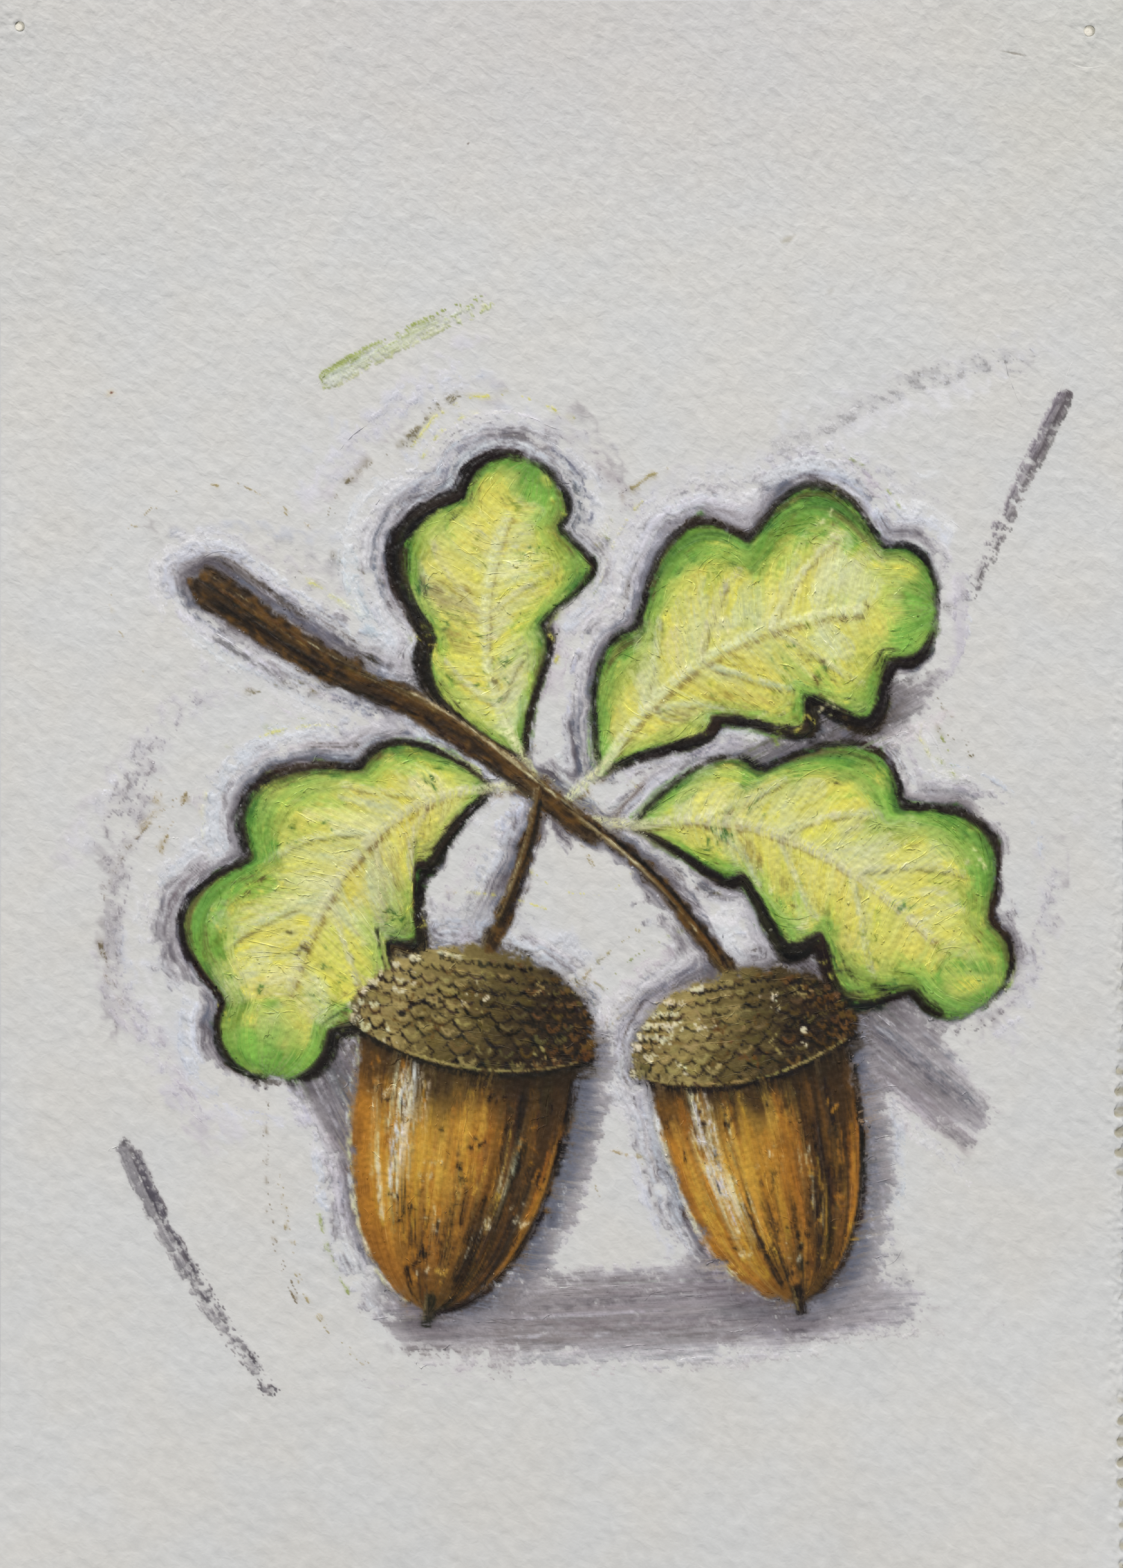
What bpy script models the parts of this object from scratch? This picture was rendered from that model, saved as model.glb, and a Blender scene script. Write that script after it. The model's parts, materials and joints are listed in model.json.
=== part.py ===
"""A small sheet of heavy textured paper with an oil pastel drawing of an oak sprig.

The sheet lies flat, drawn face up. Units are metres, +Z is up, +Y runs towards the top of the sheet,
and the origin is under the middle of the sheet, on the surface that it lies on.
Each colour field of the pastel is a thin solid of its own that follows the sheet.
"""

import math

import bmesh
import bpy
from mathutils import Vector
from mathutils.geometry import delaunay_2d_cdt

MM = 0.001

# The sheet
SHEET_WIDTH = 148.0 * MM
SHEET_HEIGHT = 210.0 * MM
SHEET_THICKNESS = 0.5 * MM
SHEET_SPACING = 6.5 * MM
EDGE_STEPS = (16, 24)
CORNER_REACH = 62.0 * MM
CORNER_LIFTS = {(-1, 1): 2.6 * MM, (1, 1): 1.6 * MM, (-1, -1): 1.2 * MM, (1, -1): 2.1 * MM}
TEAR_PITCH = 2.7 * MM
TEAR_DEPTH = 0.9 * MM
TEAR_STEP = 0.9 * MM
# How the teeth's depth drifts along the edge: share, length and start of each slow wave
TEAR_DRIFTS = ((0.3, 8.1 * MM, 0.0), (0.2, 3.3 * MM, 1.7))
PIN_HOLES = {
    "left": (Vector((-71.0, 100.9)) * MM, 0.65 * MM),
    "right": (Vector((69.2, 100.6)) * MM, 0.75 * MM),
}
PIN_HOLE_SIDES = 16

# The pastel
PASTEL_GAP = 0.2 * MM
PASTEL_THICKNESS = 0.35 * MM
PASTEL_SPACING = 4.0 * MM
FIELD_GAP = 0.3 * MM
SCRAP_AREA = 9.0 * MM**2
MITRE_LIMIT = 0.25
# How far a stroke's round ends reach, in half widths
TIP_ROUNDING = 0.9
TAIL_ROUNDING = 0.6

# Each leaf: where its blade starts, bends and ends, half its width, its lobes a side, its shaded side
# and its stalk's foot
LEAVES = {
    "upper_leaf": ((5, 3), (17, 26), (49, 25), 17.7, 3, -1, (0, -1)),
    "right_leaf": ((9, -4), (33, 2), (56, -27), 16.3, 3, -1, (3, -3)),
    "left_leaf": ((-9, 1), (-31, 2), (-39, -37), 17.2, 3, 1, (-4, 2)),
    "top_leaf": ((-5, 5), (-16, 22), (-4, 44), 13.5, 2, 1, (-3, 1)),
}
LEAF_STEPS = 48
# How far towards the tip a blade is widest, how bluntly it closes, and how round its lobes and notches are
BLADE_LEAD = 1.3
BLADE_BLUNTNESS = 0.62
LOBE_ROUNDNESS = 0.4
NOTCH_ROUNDNESS = 0.015
LOBE_DEPTH = 0.4
LOBE_LEAN = 0.34
# Shares of the midrib where the light field and the dark edge start and end, and of the blade's width there
FIELD_SPAN = (0.1, 0.9)
FIELD_SHARE = 0.6
FIELD_BLUNTNESS = 0.35
DARK_EDGE_SPAN = (0.06, 0.96)
DARK_EDGE_INNER = 0.85
# Shares of the midrib where the side veins are rooted, how far on they end, and where the midrib ends
VEIN_ROOTS = (0.2, 0.82)
VEIN_LEAD = 0.1
VEIN_REACH = 0.49
MIDRIB_END = 0.84
MIDRIB_TAPER = 0.6
VEIN_HALF_WIDTH = 0.7 * MM
VEIN_FOOT = 0.6 * MM
VEIN_TIP = 0.15 * MM

# Each acorn: top of its cap, its axis's lean from straight down in degrees, its scale and its stalk's foot
ACORNS = {
    "left_acorn": ((-10, -20), -9.0, 1.09, (-3, 1)),
    "right_acorn": ((22, -23), 12.0, 1.0, (3, -3)),
}
CAP_HALF_WIDTH = 15.0 * MM
CAP_HEIGHT = 11.5 * MM
CAP_SAG = 3.5 * MM
CAP_BLUNTNESS = 0.8
BRIM_GAP = 0.42 * MM
SHOULDER_REACH = 0.97
NUT_HALF_WIDTH = 13.3 * MM
NUT_LENGTH = 33.0 * MM
NUT_STEPS = 22
NUT_FULLNESS = 2.7
NUT_BLUNTNESS = 0.55
TIP_END = 1.04
TIP_SHARE = 0.1
TIP_TAPER = 0.05
# Patches along a flank: first and last share of the nut's length, outer and inner share of its half width
SHADE = (0.1, 0.98, 0.84, 0.4)
HIGHLIGHT = (0.08, 0.74, -0.7, -0.44)
STALK_HALF_WIDTHS = (0.7 * MM, 1.2 * MM)
STALK_BOW = Vector((2.5, 1.5)) * MM
STALK_END = 0.6 * MM
STALK_STEPS = 12

TWIG_LINE = ((-47, 28), (-32, 18), (-16, 10), (4, -5))
TWIG_HALF_WIDTHS = (2.6 * MM, 1.5 * MM)
TWIG_STEPS = 20

# Cast shadows: how far an acorn's falls, then centre, half length, half width and turn of the others
ACORN_SHADOW_FALL = Vector((4.5, -3.0)) * MM
SHADOWS = {
    "ground_shadow": ((12, -68), 37, 7.5, 3),
    "right_leaf_shadow": ((43, -33), 18, 6.5, -40),
    "left_leaf_shadow": ((-30, -39), 13, 5.5, -62),
    "upper_leaf_shadow": ((33, 6), 19, 5.0, 27),
}

# Single strokes laid beside the sprig: start, bend, end and half width
LOOSE_STROKES = {
    "grey_stroke_low": ((-57, -47), (-51, -62), (-40, -76), 1.8),
    "grey_stroke_high": ((66, 52), (61, 42), (55, 29), 1.7),
    "pale_stroke": ((-31, 55), (-23, 60), (-13, 64), 1.9),
}
STROKE_STEPS = 14
STROKE_TAPER = 0.6

# Colours as seen, red, green and blue from 0 to 255
COLOURS = {
    "paper": (211, 208, 203),
    "leaf_green": (92, 160, 62),
    "yellow": (216, 211, 104),
    "pale_green": (202, 207, 165),
    "dark_brown": (50, 38, 26),
    "ochre": (186, 122, 32),
    "brown_black": (32, 25, 20),
    "white": (226, 225, 228),
    "olive": (92, 78, 40),
    "lilac_grey": (152, 146, 150),
}
PAPER_ROUGHNESS = 0.9
PASTEL_ROUGHNESS = 0.55


def clear_scene():
    for item in list(bpy.data.objects):
        bpy.data.objects.remove(item)


def linear(channel):
    share = channel / 255
    return share / 12.92 if share <= 0.04045 else ((share + 0.055) / 1.055) ** 2.4


def material(name):
    """The finish of one colour, made once."""
    found = bpy.data.materials.get(name)
    if found:
        return found
    made = bpy.data.materials.new(name)
    made.use_nodes = True
    shader = made.node_tree.nodes["Principled BSDF"]
    shader.inputs["Base Color"].default_value = (*map(linear, COLOURS[name]), 1.0)
    shader.inputs["Roughness"].default_value = PAPER_ROUGHNESS if name == "paper" else PASTEL_ROUGHNESS
    shader.inputs["Metallic"].default_value = 0.0
    return made


def at(pair):
    """A place on the sheet, given in millimetres from its middle."""
    return Vector(pair) * MM


def sheet_lift(point):
    """How far the sheet's underside stands off the surface: flat, but for four corners that curl up."""
    lift = 0.0
    for (side, end), rise in CORNER_LIFTS.items():
        corner = Vector((side * SHEET_WIDTH / 2, end * SHEET_HEIGHT / 2))
        share = max(0.0, 1.0 - (point - corner).length / CORNER_REACH)
        lift += rise * share**2
    return lift


def is_inside(point, loop):
    """Whether a closed loop of points winds round this one, by the crossings of a ray along +X."""
    turns = 0
    for a, b in zip(loop, loop[1:] + loop[:1]):
        if (a.y > point.y) != (b.y > point.y):
            if point.x < a.x + (point.y - a.y) * (b.x - a.x) / (b.y - a.y):
                turns += 1 if b.y > a.y else -1
    return turns != 0


def grid_inside(outline, holes, spacing):
    """Points of a square grid inside the outline, out of the holes and clear of every edge."""
    low_x, high_x = min(p.x for p in outline), max(p.x for p in outline)
    low_y, high_y = min(p.y for p in outline), max(p.y for p in outline)
    rim = [p for loop in (outline, *holes) for p in loop]
    found = []
    for row in range(1, int((high_y - low_y) / spacing) + 1):
        for column in range(1, int((high_x - low_x) / spacing) + 1):
            point = Vector((low_x + column * spacing, low_y + row * spacing))
            if not is_inside(point, outline) or any(is_inside(point, hole) for hole in holes):
                continue
            if min((point - p).length for p in rim) > 0.45 * spacing:
                found.append(point)
    return found


def pieces_of(faces):
    """The faces of each connected piece, the largest first."""
    by_vertex = {}
    for index, face in enumerate(faces):
        for vertex in face:
            by_vertex.setdefault(vertex, []).append(index)
    unseen, groups = set(range(len(faces))), []
    while unseen:
        group, queue = [], [unseen.pop()]
        while queue:
            index = queue.pop()
            group.append(index)
            for vertex in faces[index]:
                for near in by_vertex[vertex]:
                    if near in unseen:
                        unseen.remove(near)
                        queue.append(near)
        groups.append([faces[index] for index in sorted(group)])
    return sorted(groups, key=len, reverse=True)


def area_of(points, faces):
    return sum((points[b] - points[a]).cross(points[c] - points[a]) / 2 for a, b, c in faces)


def plan(outline, holes, spacing):
    """The outline less the holes: its points, and the triangles of each piece that is more than a scrap."""
    holes = [hole for hole in holes if hole]
    points = grid_inside(outline, holes, spacing)
    edges = []
    for loop in (outline, *holes):
        first = len(points)
        points += loop
        edges += [(first + i, first + (i + 1) % len(loop)) for i in range(len(loop))]
    made, _, faces, *_ = delaunay_2d_cdt(points, edges, [], 0, 1e-7)
    kept = []
    for face in faces:
        middle = sum((made[i] for i in face), Vector((0, 0))) / len(face)
        if is_inside(middle, outline) and not any(is_inside(middle, hole) for hole in holes):
            kept.append(tuple(face))
    return made, [group for group in pieces_of(kept) if abs(area_of(made, group)) > SCRAP_AREA]


def slab(name, finish, points, faces, bottom, thickness):
    """A thin solid over plan triangles, `bottom` above the sheet's underside and following its lift."""
    mesh = bmesh.new()
    lower, upper = {}, {}
    for index in sorted({i for face in faces for i in face}):
        point = points[index]
        floor = sheet_lift(point) + bottom
        lower[index] = mesh.verts.new((point.x, point.y, floor))
        upper[index] = mesh.verts.new((point.x, point.y, floor + thickness))
    rim = set()
    for face in faces:
        mesh.faces.new([upper[i] for i in face])
        mesh.faces.new([lower[i] for i in reversed(face)])
        for a, b in zip(face, face[1:] + face[:1]):
            if (b, a) in rim:
                rim.remove((b, a))
            else:
                rim.add((a, b))
    for a, b in sorted(rim):
        mesh.faces.new((lower[a], lower[b], upper[b], upper[a]))
    bmesh.ops.recalc_face_normals(mesh, faces=mesh.faces)
    data = bpy.data.meshes.new(name)
    mesh.to_mesh(data)
    mesh.free()
    data.materials.append(material(finish))
    bpy.context.scene.collection.objects.link(bpy.data.objects.new(name, data))


def pastel(name, finish, outline, holes=()):
    """A colour field of pastel. What its neighbours cut off from the rest is a solid of its own."""
    points, pieces = plan(outline, holes, PASTEL_SPACING)
    for number, faces in enumerate(pieces, 1):
        piece_name = name if number == 1 else f"{name}_{number}"
        slab(piece_name, finish, points, faces, SHEET_THICKNESS + PASTEL_GAP, PASTEL_THICKNESS)


def bent(start, bend, end, share):
    """A point and the unit direction on a curve that leaves start towards bend and arrives at end from it."""
    place = start * (1 - share) ** 2 + bend * 2 * share * (1 - share) + end * share**2
    heading = (bend - start) * (1 - share) + (end - bend) * share
    return place, heading.normalized()


def bent_line(start, bend, end, count):
    """Shares, places and directions along such a curve."""
    return [(i / count, bent(start, bend, end, i / count)) for i in range(count + 1)]


def between(span, share):
    return span[0] + (span[1] - span[0]) * share


def left_of(heading):
    return Vector((-heading.y, heading.x))


def grown(loop, gap=FIELD_GAP):
    """The loop moved outwards by the gap, to keep its neighbours clear of it."""
    area = sum(a.x * b.y - b.x * a.y for a, b in zip(loop, loop[1:] + loop[:1]))
    outwards = -1 if area > 0 else 1
    moved = []
    for before, point, after in zip(loop[-1:] + loop[:-1], loop, loop[1:] + loop[:1]):
        first = left_of((point - before).normalized()) * outwards
        second = left_of((after - point).normalized()) * outwards
        moved.append(point + (first + second) / max(MITRE_LIMIT, 1 + first.dot(second)) * gap)
    return moved


def even_steps(count):
    """Shares from 0 to 1 that crowd towards both ends, for shapes that close in an arc."""
    return [(1 - math.cos(math.pi * i / count)) / 2 for i in range(count + 1)]


def ellipse(centre, half_length, half_width, turn_degrees, count=36):
    turn = math.radians(turn_degrees)
    along, across = Vector((math.cos(turn), math.sin(turn))), Vector((-math.sin(turn), math.cos(turn)))
    angles = [2 * math.pi * i / count for i in range(count)]
    return [centre + along * half_length * math.cos(a) + across * half_width * math.sin(a) for a in angles]


def ribbon(line, half_widths):
    """The outline of a strip whose half width runs from the first value to the last, with round ends."""
    sides = ([], [])
    for share, (place, heading) in line:
        half = half_widths[0] + (half_widths[1] - half_widths[0]) * share
        sides[0].append(place + left_of(heading) * half)
        sides[1].append(place - left_of(heading) * half)
    place, heading = line[-1][1]
    tip = [place + heading * half_widths[1] * TIP_ROUNDING]
    place, heading = line[0][1]
    tail = [place - heading * half_widths[0] * TAIL_ROUNDING]
    return sides[1] + tip + sides[0][::-1] + tail


def smooth_line(points, count):
    """Shares, places and directions along a Catmull-Rom curve through the points."""
    points = [at(p) for p in points]
    points = [2 * points[0] - points[1], *points, 2 * points[-1] - points[-2]]
    spans = len(points) - 3
    found = []
    for i in range(count + 1):
        share = i / count
        span = min(int(share * spans), spans - 1)
        t = share * spans - span
        a, b, c, d = points[span : span + 4]
        linear_part, square_part = c - a, 2 * a - 5 * b + 4 * c - d
        cube_part = 3 * b - a - 3 * c + d
        place = b + (linear_part * t + square_part * t**2 + cube_part * t**3) / 2
        slope = linear_part + square_part * 2 * t + cube_part * 3 * t**2
        found.append((share, (place, slope.normalized())))
    return found


class Leaf:
    """An oak leaf drawn flat: a bent midrib, with rounded lobes that lean towards the tip."""

    def __init__(self, base, bend, tip, half_width, lobes, shaded_side, foot):
        self.ends = at(base), at(bend), at(tip)
        self.half_width = half_width * MM
        self.lobes = lobes
        self.shaded_side = shaded_side
        self.foot = at(foot)

    def reach(self, share):
        """Half the blade's width at a share of the midrib."""
        whole = math.sin(math.pi * share**BLADE_LEAD) ** BLADE_BLUNTNESS if 0 < share < 1 else 0.0
        wave = math.sin(math.pi * (self.lobes + 0.5) * share) ** 2
        lobe = (wave + NOTCH_ROUNDNESS) ** LOBE_ROUNDNESS
        return self.half_width * whole * (1 - LOBE_DEPTH * (1 - lobe))

    def edge(self, share, side, scale=1.0):
        place, heading = bent(*self.ends, share)
        reach = self.reach(share) * scale
        return place + left_of(heading) * side * reach + heading * LOBE_LEAN * reach

    def blade(self):
        shares = even_steps(LEAF_STEPS)
        right = [self.edge(s, -1) for s in shares]
        left = [self.edge(s, 1) for s in shares[1:-1]]
        return right + left[::-1]

    def field(self):
        """The light middle of the blade, closed across the midrib at both ends."""
        shares = [between(FIELD_SPAN, s) for s in even_steps(LEAF_STEPS)]
        widths = [math.sin(math.pi * i / LEAF_STEPS) ** FIELD_BLUNTNESS for i in range(LEAF_STEPS + 1)]
        right = [self.edge(s, -1, FIELD_SHARE * width) for s, width in zip(shares, widths)]
        left = [self.edge(s, 1, FIELD_SHARE * width) for s, width in zip(shares, widths)]
        return right + left[-2:0:-1]

    def dark_edge(self):
        """The shaded rim, a strip along one side of the blade."""
        shares = [between(DARK_EDGE_SPAN, i / LEAF_STEPS) for i in range(LEAF_STEPS + 1)]
        outer = [self.edge(s, self.shaded_side) for s in shares]
        inner = [self.edge(s, self.shaded_side, DARK_EDGE_INNER) for s in shares]
        return outer + inner[::-1]

    def vein(self):
        """Midrib, stalk and side veins as one outline: the midrib's edges, and a slim spike for each vein."""
        start = self.ends[0]
        stalk = (start - self.foot).normalized()
        loop = []
        for side in (-1, 1):
            edge = [self.foot + left_of(stalk) * side * VEIN_HALF_WIDTH]
            for lobe in range(self.lobes):
                root = between(VEIN_ROOTS, lobe / self.lobes)
                place, heading = bent(*self.ends, root)
                half = VEIN_HALF_WIDTH * (1 - MIDRIB_TAPER * root)
                place = place + left_of(heading) * side * half
                spike = self.edge(root + VEIN_LEAD, side, VEIN_REACH)
                blunt = left_of((spike - place).normalized()) * VEIN_TIP * side
                foot = heading * VEIN_FOOT
                edge += [place - foot, spike + blunt, spike - blunt, place + foot]
            edge.append(bent(*self.ends, MIDRIB_END)[0])
            loop = edge if side < 0 else loop + edge[-2::-1]
        return loop


class Acorn:
    """An acorn drawn from the side: u runs down its axis from the top of the cap, v across it."""

    def __init__(self, top, lean_degrees, scale, foot):
        lean = math.radians(lean_degrees)
        self.top, self.scale, self.foot = at(top), scale, at(foot)
        self.down = Vector((math.sin(lean), -math.cos(lean)))
        self.side = Vector((math.cos(lean), math.sin(lean)))

    def spot(self, u, v):
        return self.top + (self.down * u + self.side * v) * self.scale

    def brim(self, share, drop=0.0):
        """A point on the cap's lower border, from -1 at its left end to 1 at its right."""
        return self.spot(CAP_HEIGHT + CAP_SAG * (1 - share**2) + drop, CAP_HALF_WIDTH * share)

    def cap(self):
        dome = []
        for i in range(NUT_STEPS + 1):
            turn = math.pi * i / NUT_STEPS
            rise = math.sin(turn) ** CAP_BLUNTNESS
            dome.append(self.spot(CAP_HEIGHT * (1 - rise), CAP_HALF_WIDTH * math.cos(turn)))
        brim = [self.brim(-1 + 2 * i / NUT_STEPS) for i in range(1, NUT_STEPS)]
        return dome + brim

    def half_width(self, share):
        """Half the nut's width at a share of its length, with a small point at its tip."""
        belly = max(0.0, 1 - share**NUT_FULLNESS) ** NUT_BLUNTNESS
        point = TIP_SHARE * min(1.0, max(0.0, (TIP_END - share) / TIP_TAPER))
        return NUT_HALF_WIDTH * max(belly, point)

    def flank(self, share, across):
        """A point at a share of the nut's length, and a signed share of its half width there."""
        return self.spot(CAP_HEIGHT + NUT_LENGTH * share, across * self.half_width(share))

    def nut(self):
        shares = [TIP_END * s for s in even_steps(NUT_STEPS * 2)[NUT_STEPS // 2 :]]
        left = [self.flank(share, -1) for share in shares]
        right = [self.flank(share, 1) for share in shares[-2::-1]]
        reach = NUT_HALF_WIDTH / CAP_HALF_WIDTH * SHOULDER_REACH
        top = [self.brim(reach * (1 - 2 * i / NUT_STEPS), BRIM_GAP) for i in range(NUT_STEPS + 1)]
        return top + left + right

    def sickle(self, first, last, outer, inner):
        """A curved patch along one flank, pointed at both ends, between two shares of the half width."""
        middle, half = (outer + inner) / 2, (outer - inner) / 2
        outside, inside = [], []
        for i in range(NUT_STEPS + 1):
            share = between((first, last), i / NUT_STEPS)
            swell = half * math.sin(math.pi * i / NUT_STEPS)
            outside.append(self.flank(share, middle + swell))
            inside.append(self.flank(share, middle - swell))
        return outside + inside[-2:0:-1]

    def shadow(self):
        """The whole acorn's shape from its shoulders down, where its shadow falls."""
        left = [self.flank(TIP_END * i / NUT_STEPS, -1) for i in range(NUT_STEPS + 1)]
        right = [self.flank(TIP_END * i / NUT_STEPS, 1) for i in range(NUT_STEPS + 1)]
        crown = [self.spot(CAP_HEIGHT * 0.45, CAP_HALF_WIDTH * share) for share in (0.85, 0.0, -0.85)]
        return [place + ACORN_SHADOW_FALL for place in left + right[::-1] + crown]

    def stalk(self):
        """A thin stalk from the twig to the cap, hanging in a slight bow."""
        bend = (self.foot + self.top) / 2 + STALK_BOW
        end = self.top + self.down * STALK_END
        return ribbon(bent_line(self.foot, bend, end, STALK_STEPS), STALK_HALF_WIDTHS)


def torn_edge():
    """The right edge from bottom to top: small torn teeth along a perforated line."""
    count = round(SHEET_HEIGHT / TEAR_STEP)
    depths = []
    for i in range(count + 1):
        y = SHEET_HEIGHT * i / count
        tooth = 0.5 - 0.5 * math.cos(2 * math.pi * y / TEAR_PITCH)
        drift = 0.5 + sum(share * math.sin(y / length + start) for share, length, start in TEAR_DRIFTS)
        depths.append(TEAR_DEPTH * tooth * drift)
    return [
        Vector((SHEET_WIDTH / 2 - depth + min(depths), SHEET_HEIGHT * (i / count - 0.5)))
        for i, depth in enumerate(depths)
    ]


def build_sheet():
    left, half = -SHEET_WIDTH / 2, SHEET_HEIGHT / 2
    across, along = EDGE_STEPS
    top = [Vector((-left - SHEET_WIDTH * i / across, half)) for i in range(1, across)]
    cut = [Vector((left, half - SHEET_HEIGHT * i / along)) for i in range(along + 1)]
    low = [Vector((left + SHEET_WIDTH * i / across, -half)) for i in range(1, across)]
    holes = [ellipse(centre, radius, radius, 0, PIN_HOLE_SIDES) for centre, radius in PIN_HOLES.values()]
    points, (faces,) = plan(torn_edge() + top + cut + low, holes, SHEET_SPACING)
    slab("paper_sheet", "paper", points, faces, 0.0, SHEET_THICKNESS)


def build_drawing():
    """Every colour field, front to back. What lies behind is cut clear of what lies in front of it."""
    front = []
    for name, values in ACORNS.items():
        acorn = Acorn(*values)
        nut, cap, stalk = acorn.nut(), acorn.cap(), acorn.stalk()
        shade, highlight = acorn.sickle(*SHADE), acorn.sickle(*HIGHLIGHT)
        pastel(name + "_cap", "olive", cap, front)
        pastel(name + "_shade", "brown_black", shade, front)
        pastel(name + "_highlight", "white", highlight, front)
        pastel(name + "_nut", "ochre", nut, [*front, grown(cap), grown(shade), grown(highlight)])
        front += [grown(cap), grown(nut)]
        pastel(name + "_stalk", "dark_brown", stalk, front)
        front.append(grown(stalk))
    twig = ribbon(smooth_line(TWIG_LINE, TWIG_STEPS), TWIG_HALF_WIDTHS)
    pastel("twig", "dark_brown", twig, front)
    front.append(grown(twig))
    for name, values in LEAVES.items():
        leaf = Leaf(*values)
        vein, field, edge, blade = leaf.vein(), leaf.field(), leaf.dark_edge(), leaf.blade()
        pastel(name + "_vein", "pale_green", vein, front)
        pastel(name + "_field", "yellow", field, [*front, grown(vein)])
        pastel(name + "_dark_edge", "dark_brown", edge, front)
        pastel(name + "_rim", "leaf_green", blade, [*front, grown(vein), grown(field), grown(edge)])
        front += [grown(blade), grown(vein)]
    for name, values in ACORNS.items():
        shape = Acorn(*values).shadow()
        pastel(name + "_shadow", "lilac_grey", shape, front)
        front.append(grown(shape))
    for name, (centre, half_length, half_width, turn) in SHADOWS.items():
        shape = ellipse(at(centre), half_length * MM, half_width * MM, turn)
        pastel(name, "lilac_grey", shape, front)
        front.append(grown(shape))
    for name, (start, bend, end, half_width) in LOOSE_STROKES.items():
        line = bent_line(at(start), at(bend), at(end), STROKE_STEPS)
        finish = "pale_green" if name.startswith("pale") else "lilac_grey"
        pastel(name, finish, ribbon(line, (half_width * MM, half_width * STROKE_TAPER * MM)), front)


def main():
    clear_scene()
    build_sheet()
    build_drawing()


main()
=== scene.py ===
"""The looks of a small sheet of heavy textured paper with an oil pastel drawing of an oak sprig.

The drawing is painted stroke by stroke on a canvas of arrays that covers the sheet. Each vertex of the
canvas holds the pastel's colour, how well it covers the paper, how thick it lies and which way it was rubbed.
The sheet and the crust of pastel in each colour field are then meshes over the canvas's lattice.
Lengths are in millimetres until a mesh is made, and in metres there.
"""

import json
import math

import bpy
import numpy as np
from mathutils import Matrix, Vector


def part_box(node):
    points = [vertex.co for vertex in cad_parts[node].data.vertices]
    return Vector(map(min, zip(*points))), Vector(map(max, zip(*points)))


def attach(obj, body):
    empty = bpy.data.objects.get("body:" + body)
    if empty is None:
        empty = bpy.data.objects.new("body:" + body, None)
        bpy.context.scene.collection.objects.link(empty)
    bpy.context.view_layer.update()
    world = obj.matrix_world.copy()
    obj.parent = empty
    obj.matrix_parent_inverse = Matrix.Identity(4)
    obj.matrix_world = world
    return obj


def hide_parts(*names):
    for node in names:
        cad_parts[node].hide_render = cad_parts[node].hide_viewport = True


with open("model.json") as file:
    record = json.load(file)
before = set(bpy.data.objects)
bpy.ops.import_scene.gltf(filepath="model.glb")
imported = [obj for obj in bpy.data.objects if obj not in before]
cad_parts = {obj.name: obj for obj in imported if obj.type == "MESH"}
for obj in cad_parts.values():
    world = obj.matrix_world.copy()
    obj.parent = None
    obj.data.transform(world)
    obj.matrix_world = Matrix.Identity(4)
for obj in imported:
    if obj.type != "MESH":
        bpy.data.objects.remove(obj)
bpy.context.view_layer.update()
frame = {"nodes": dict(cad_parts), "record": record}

MM = 0.001
SEED = 7

# The sheet, as the part has it
SHEET_LOW, SHEET_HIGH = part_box("paper_sheet")
WIDTH = round((SHEET_HIGH.x - SHEET_LOW.x) / MM, 3)
HEIGHT = round((SHEET_HIGH.y - SHEET_LOW.y) / MM, 3)
THICKNESS = 0.5
CORNER_REACH = 62.0
CORNER_LIFTS = {(-1, 1): 2.6, (1, 1): 1.6, (-1, -1): 1.2, (1, -1): 2.1}
TEAR_PITCH = 2.7
TEAR_DEPTH = 0.9
TEAR_DRIFTS = ((0.3, 8.1, 0.0), (0.2, 3.3, 1.7))
PIN_HOLES = {"left": ((-71.0, 100.9), 0.65), "right": ((69.2, 100.6), 0.75)}

# The drawing's shapes, as the part has them
LEAVES = {
    "upper_leaf": ((5, 3), (17, 26), (49, 25), 17.7, 3, -1, (0, -1)),
    "right_leaf": ((9, -4), (33, 2), (56, -27), 16.3, 3, -1, (3, -3)),
    "left_leaf": ((-9, 1), (-31, 2), (-39, -37), 17.2, 3, 1, (-4, 2)),
    "top_leaf": ((-5, 5), (-16, 22), (-4, 44), 13.5, 2, 1, (-3, 1)),
}
LEAF_STEPS = 48
BLADE_LEAD = 1.3
BLADE_BLUNTNESS = 0.62
LOBE_ROUNDNESS = 0.4
NOTCH_ROUNDNESS = 0.015
LOBE_DEPTH = 0.4
LOBE_LEAN = 0.34
FIELD_SPAN = (0.1, 0.9)
FIELD_SHARE = 0.6
FIELD_BLUNTNESS = 0.35
DARK_EDGE_SPAN = (0.06, 0.96)
DARK_EDGE_INNER = 0.85
VEIN_ROOTS = (0.2, 0.82)
VEIN_LEAD = 0.1
VEIN_REACH = 0.49
MIDRIB_END = 0.84
MIDRIB_TAPER = 0.6
VEIN_HALF_WIDTH = 0.7
VEIN_FOOT = 0.6
VEIN_TIP = 0.15
SLICE_SPAN = (-0.12, 1.12)
SLICES = 125
LEAST_REACH = 0.5

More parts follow.
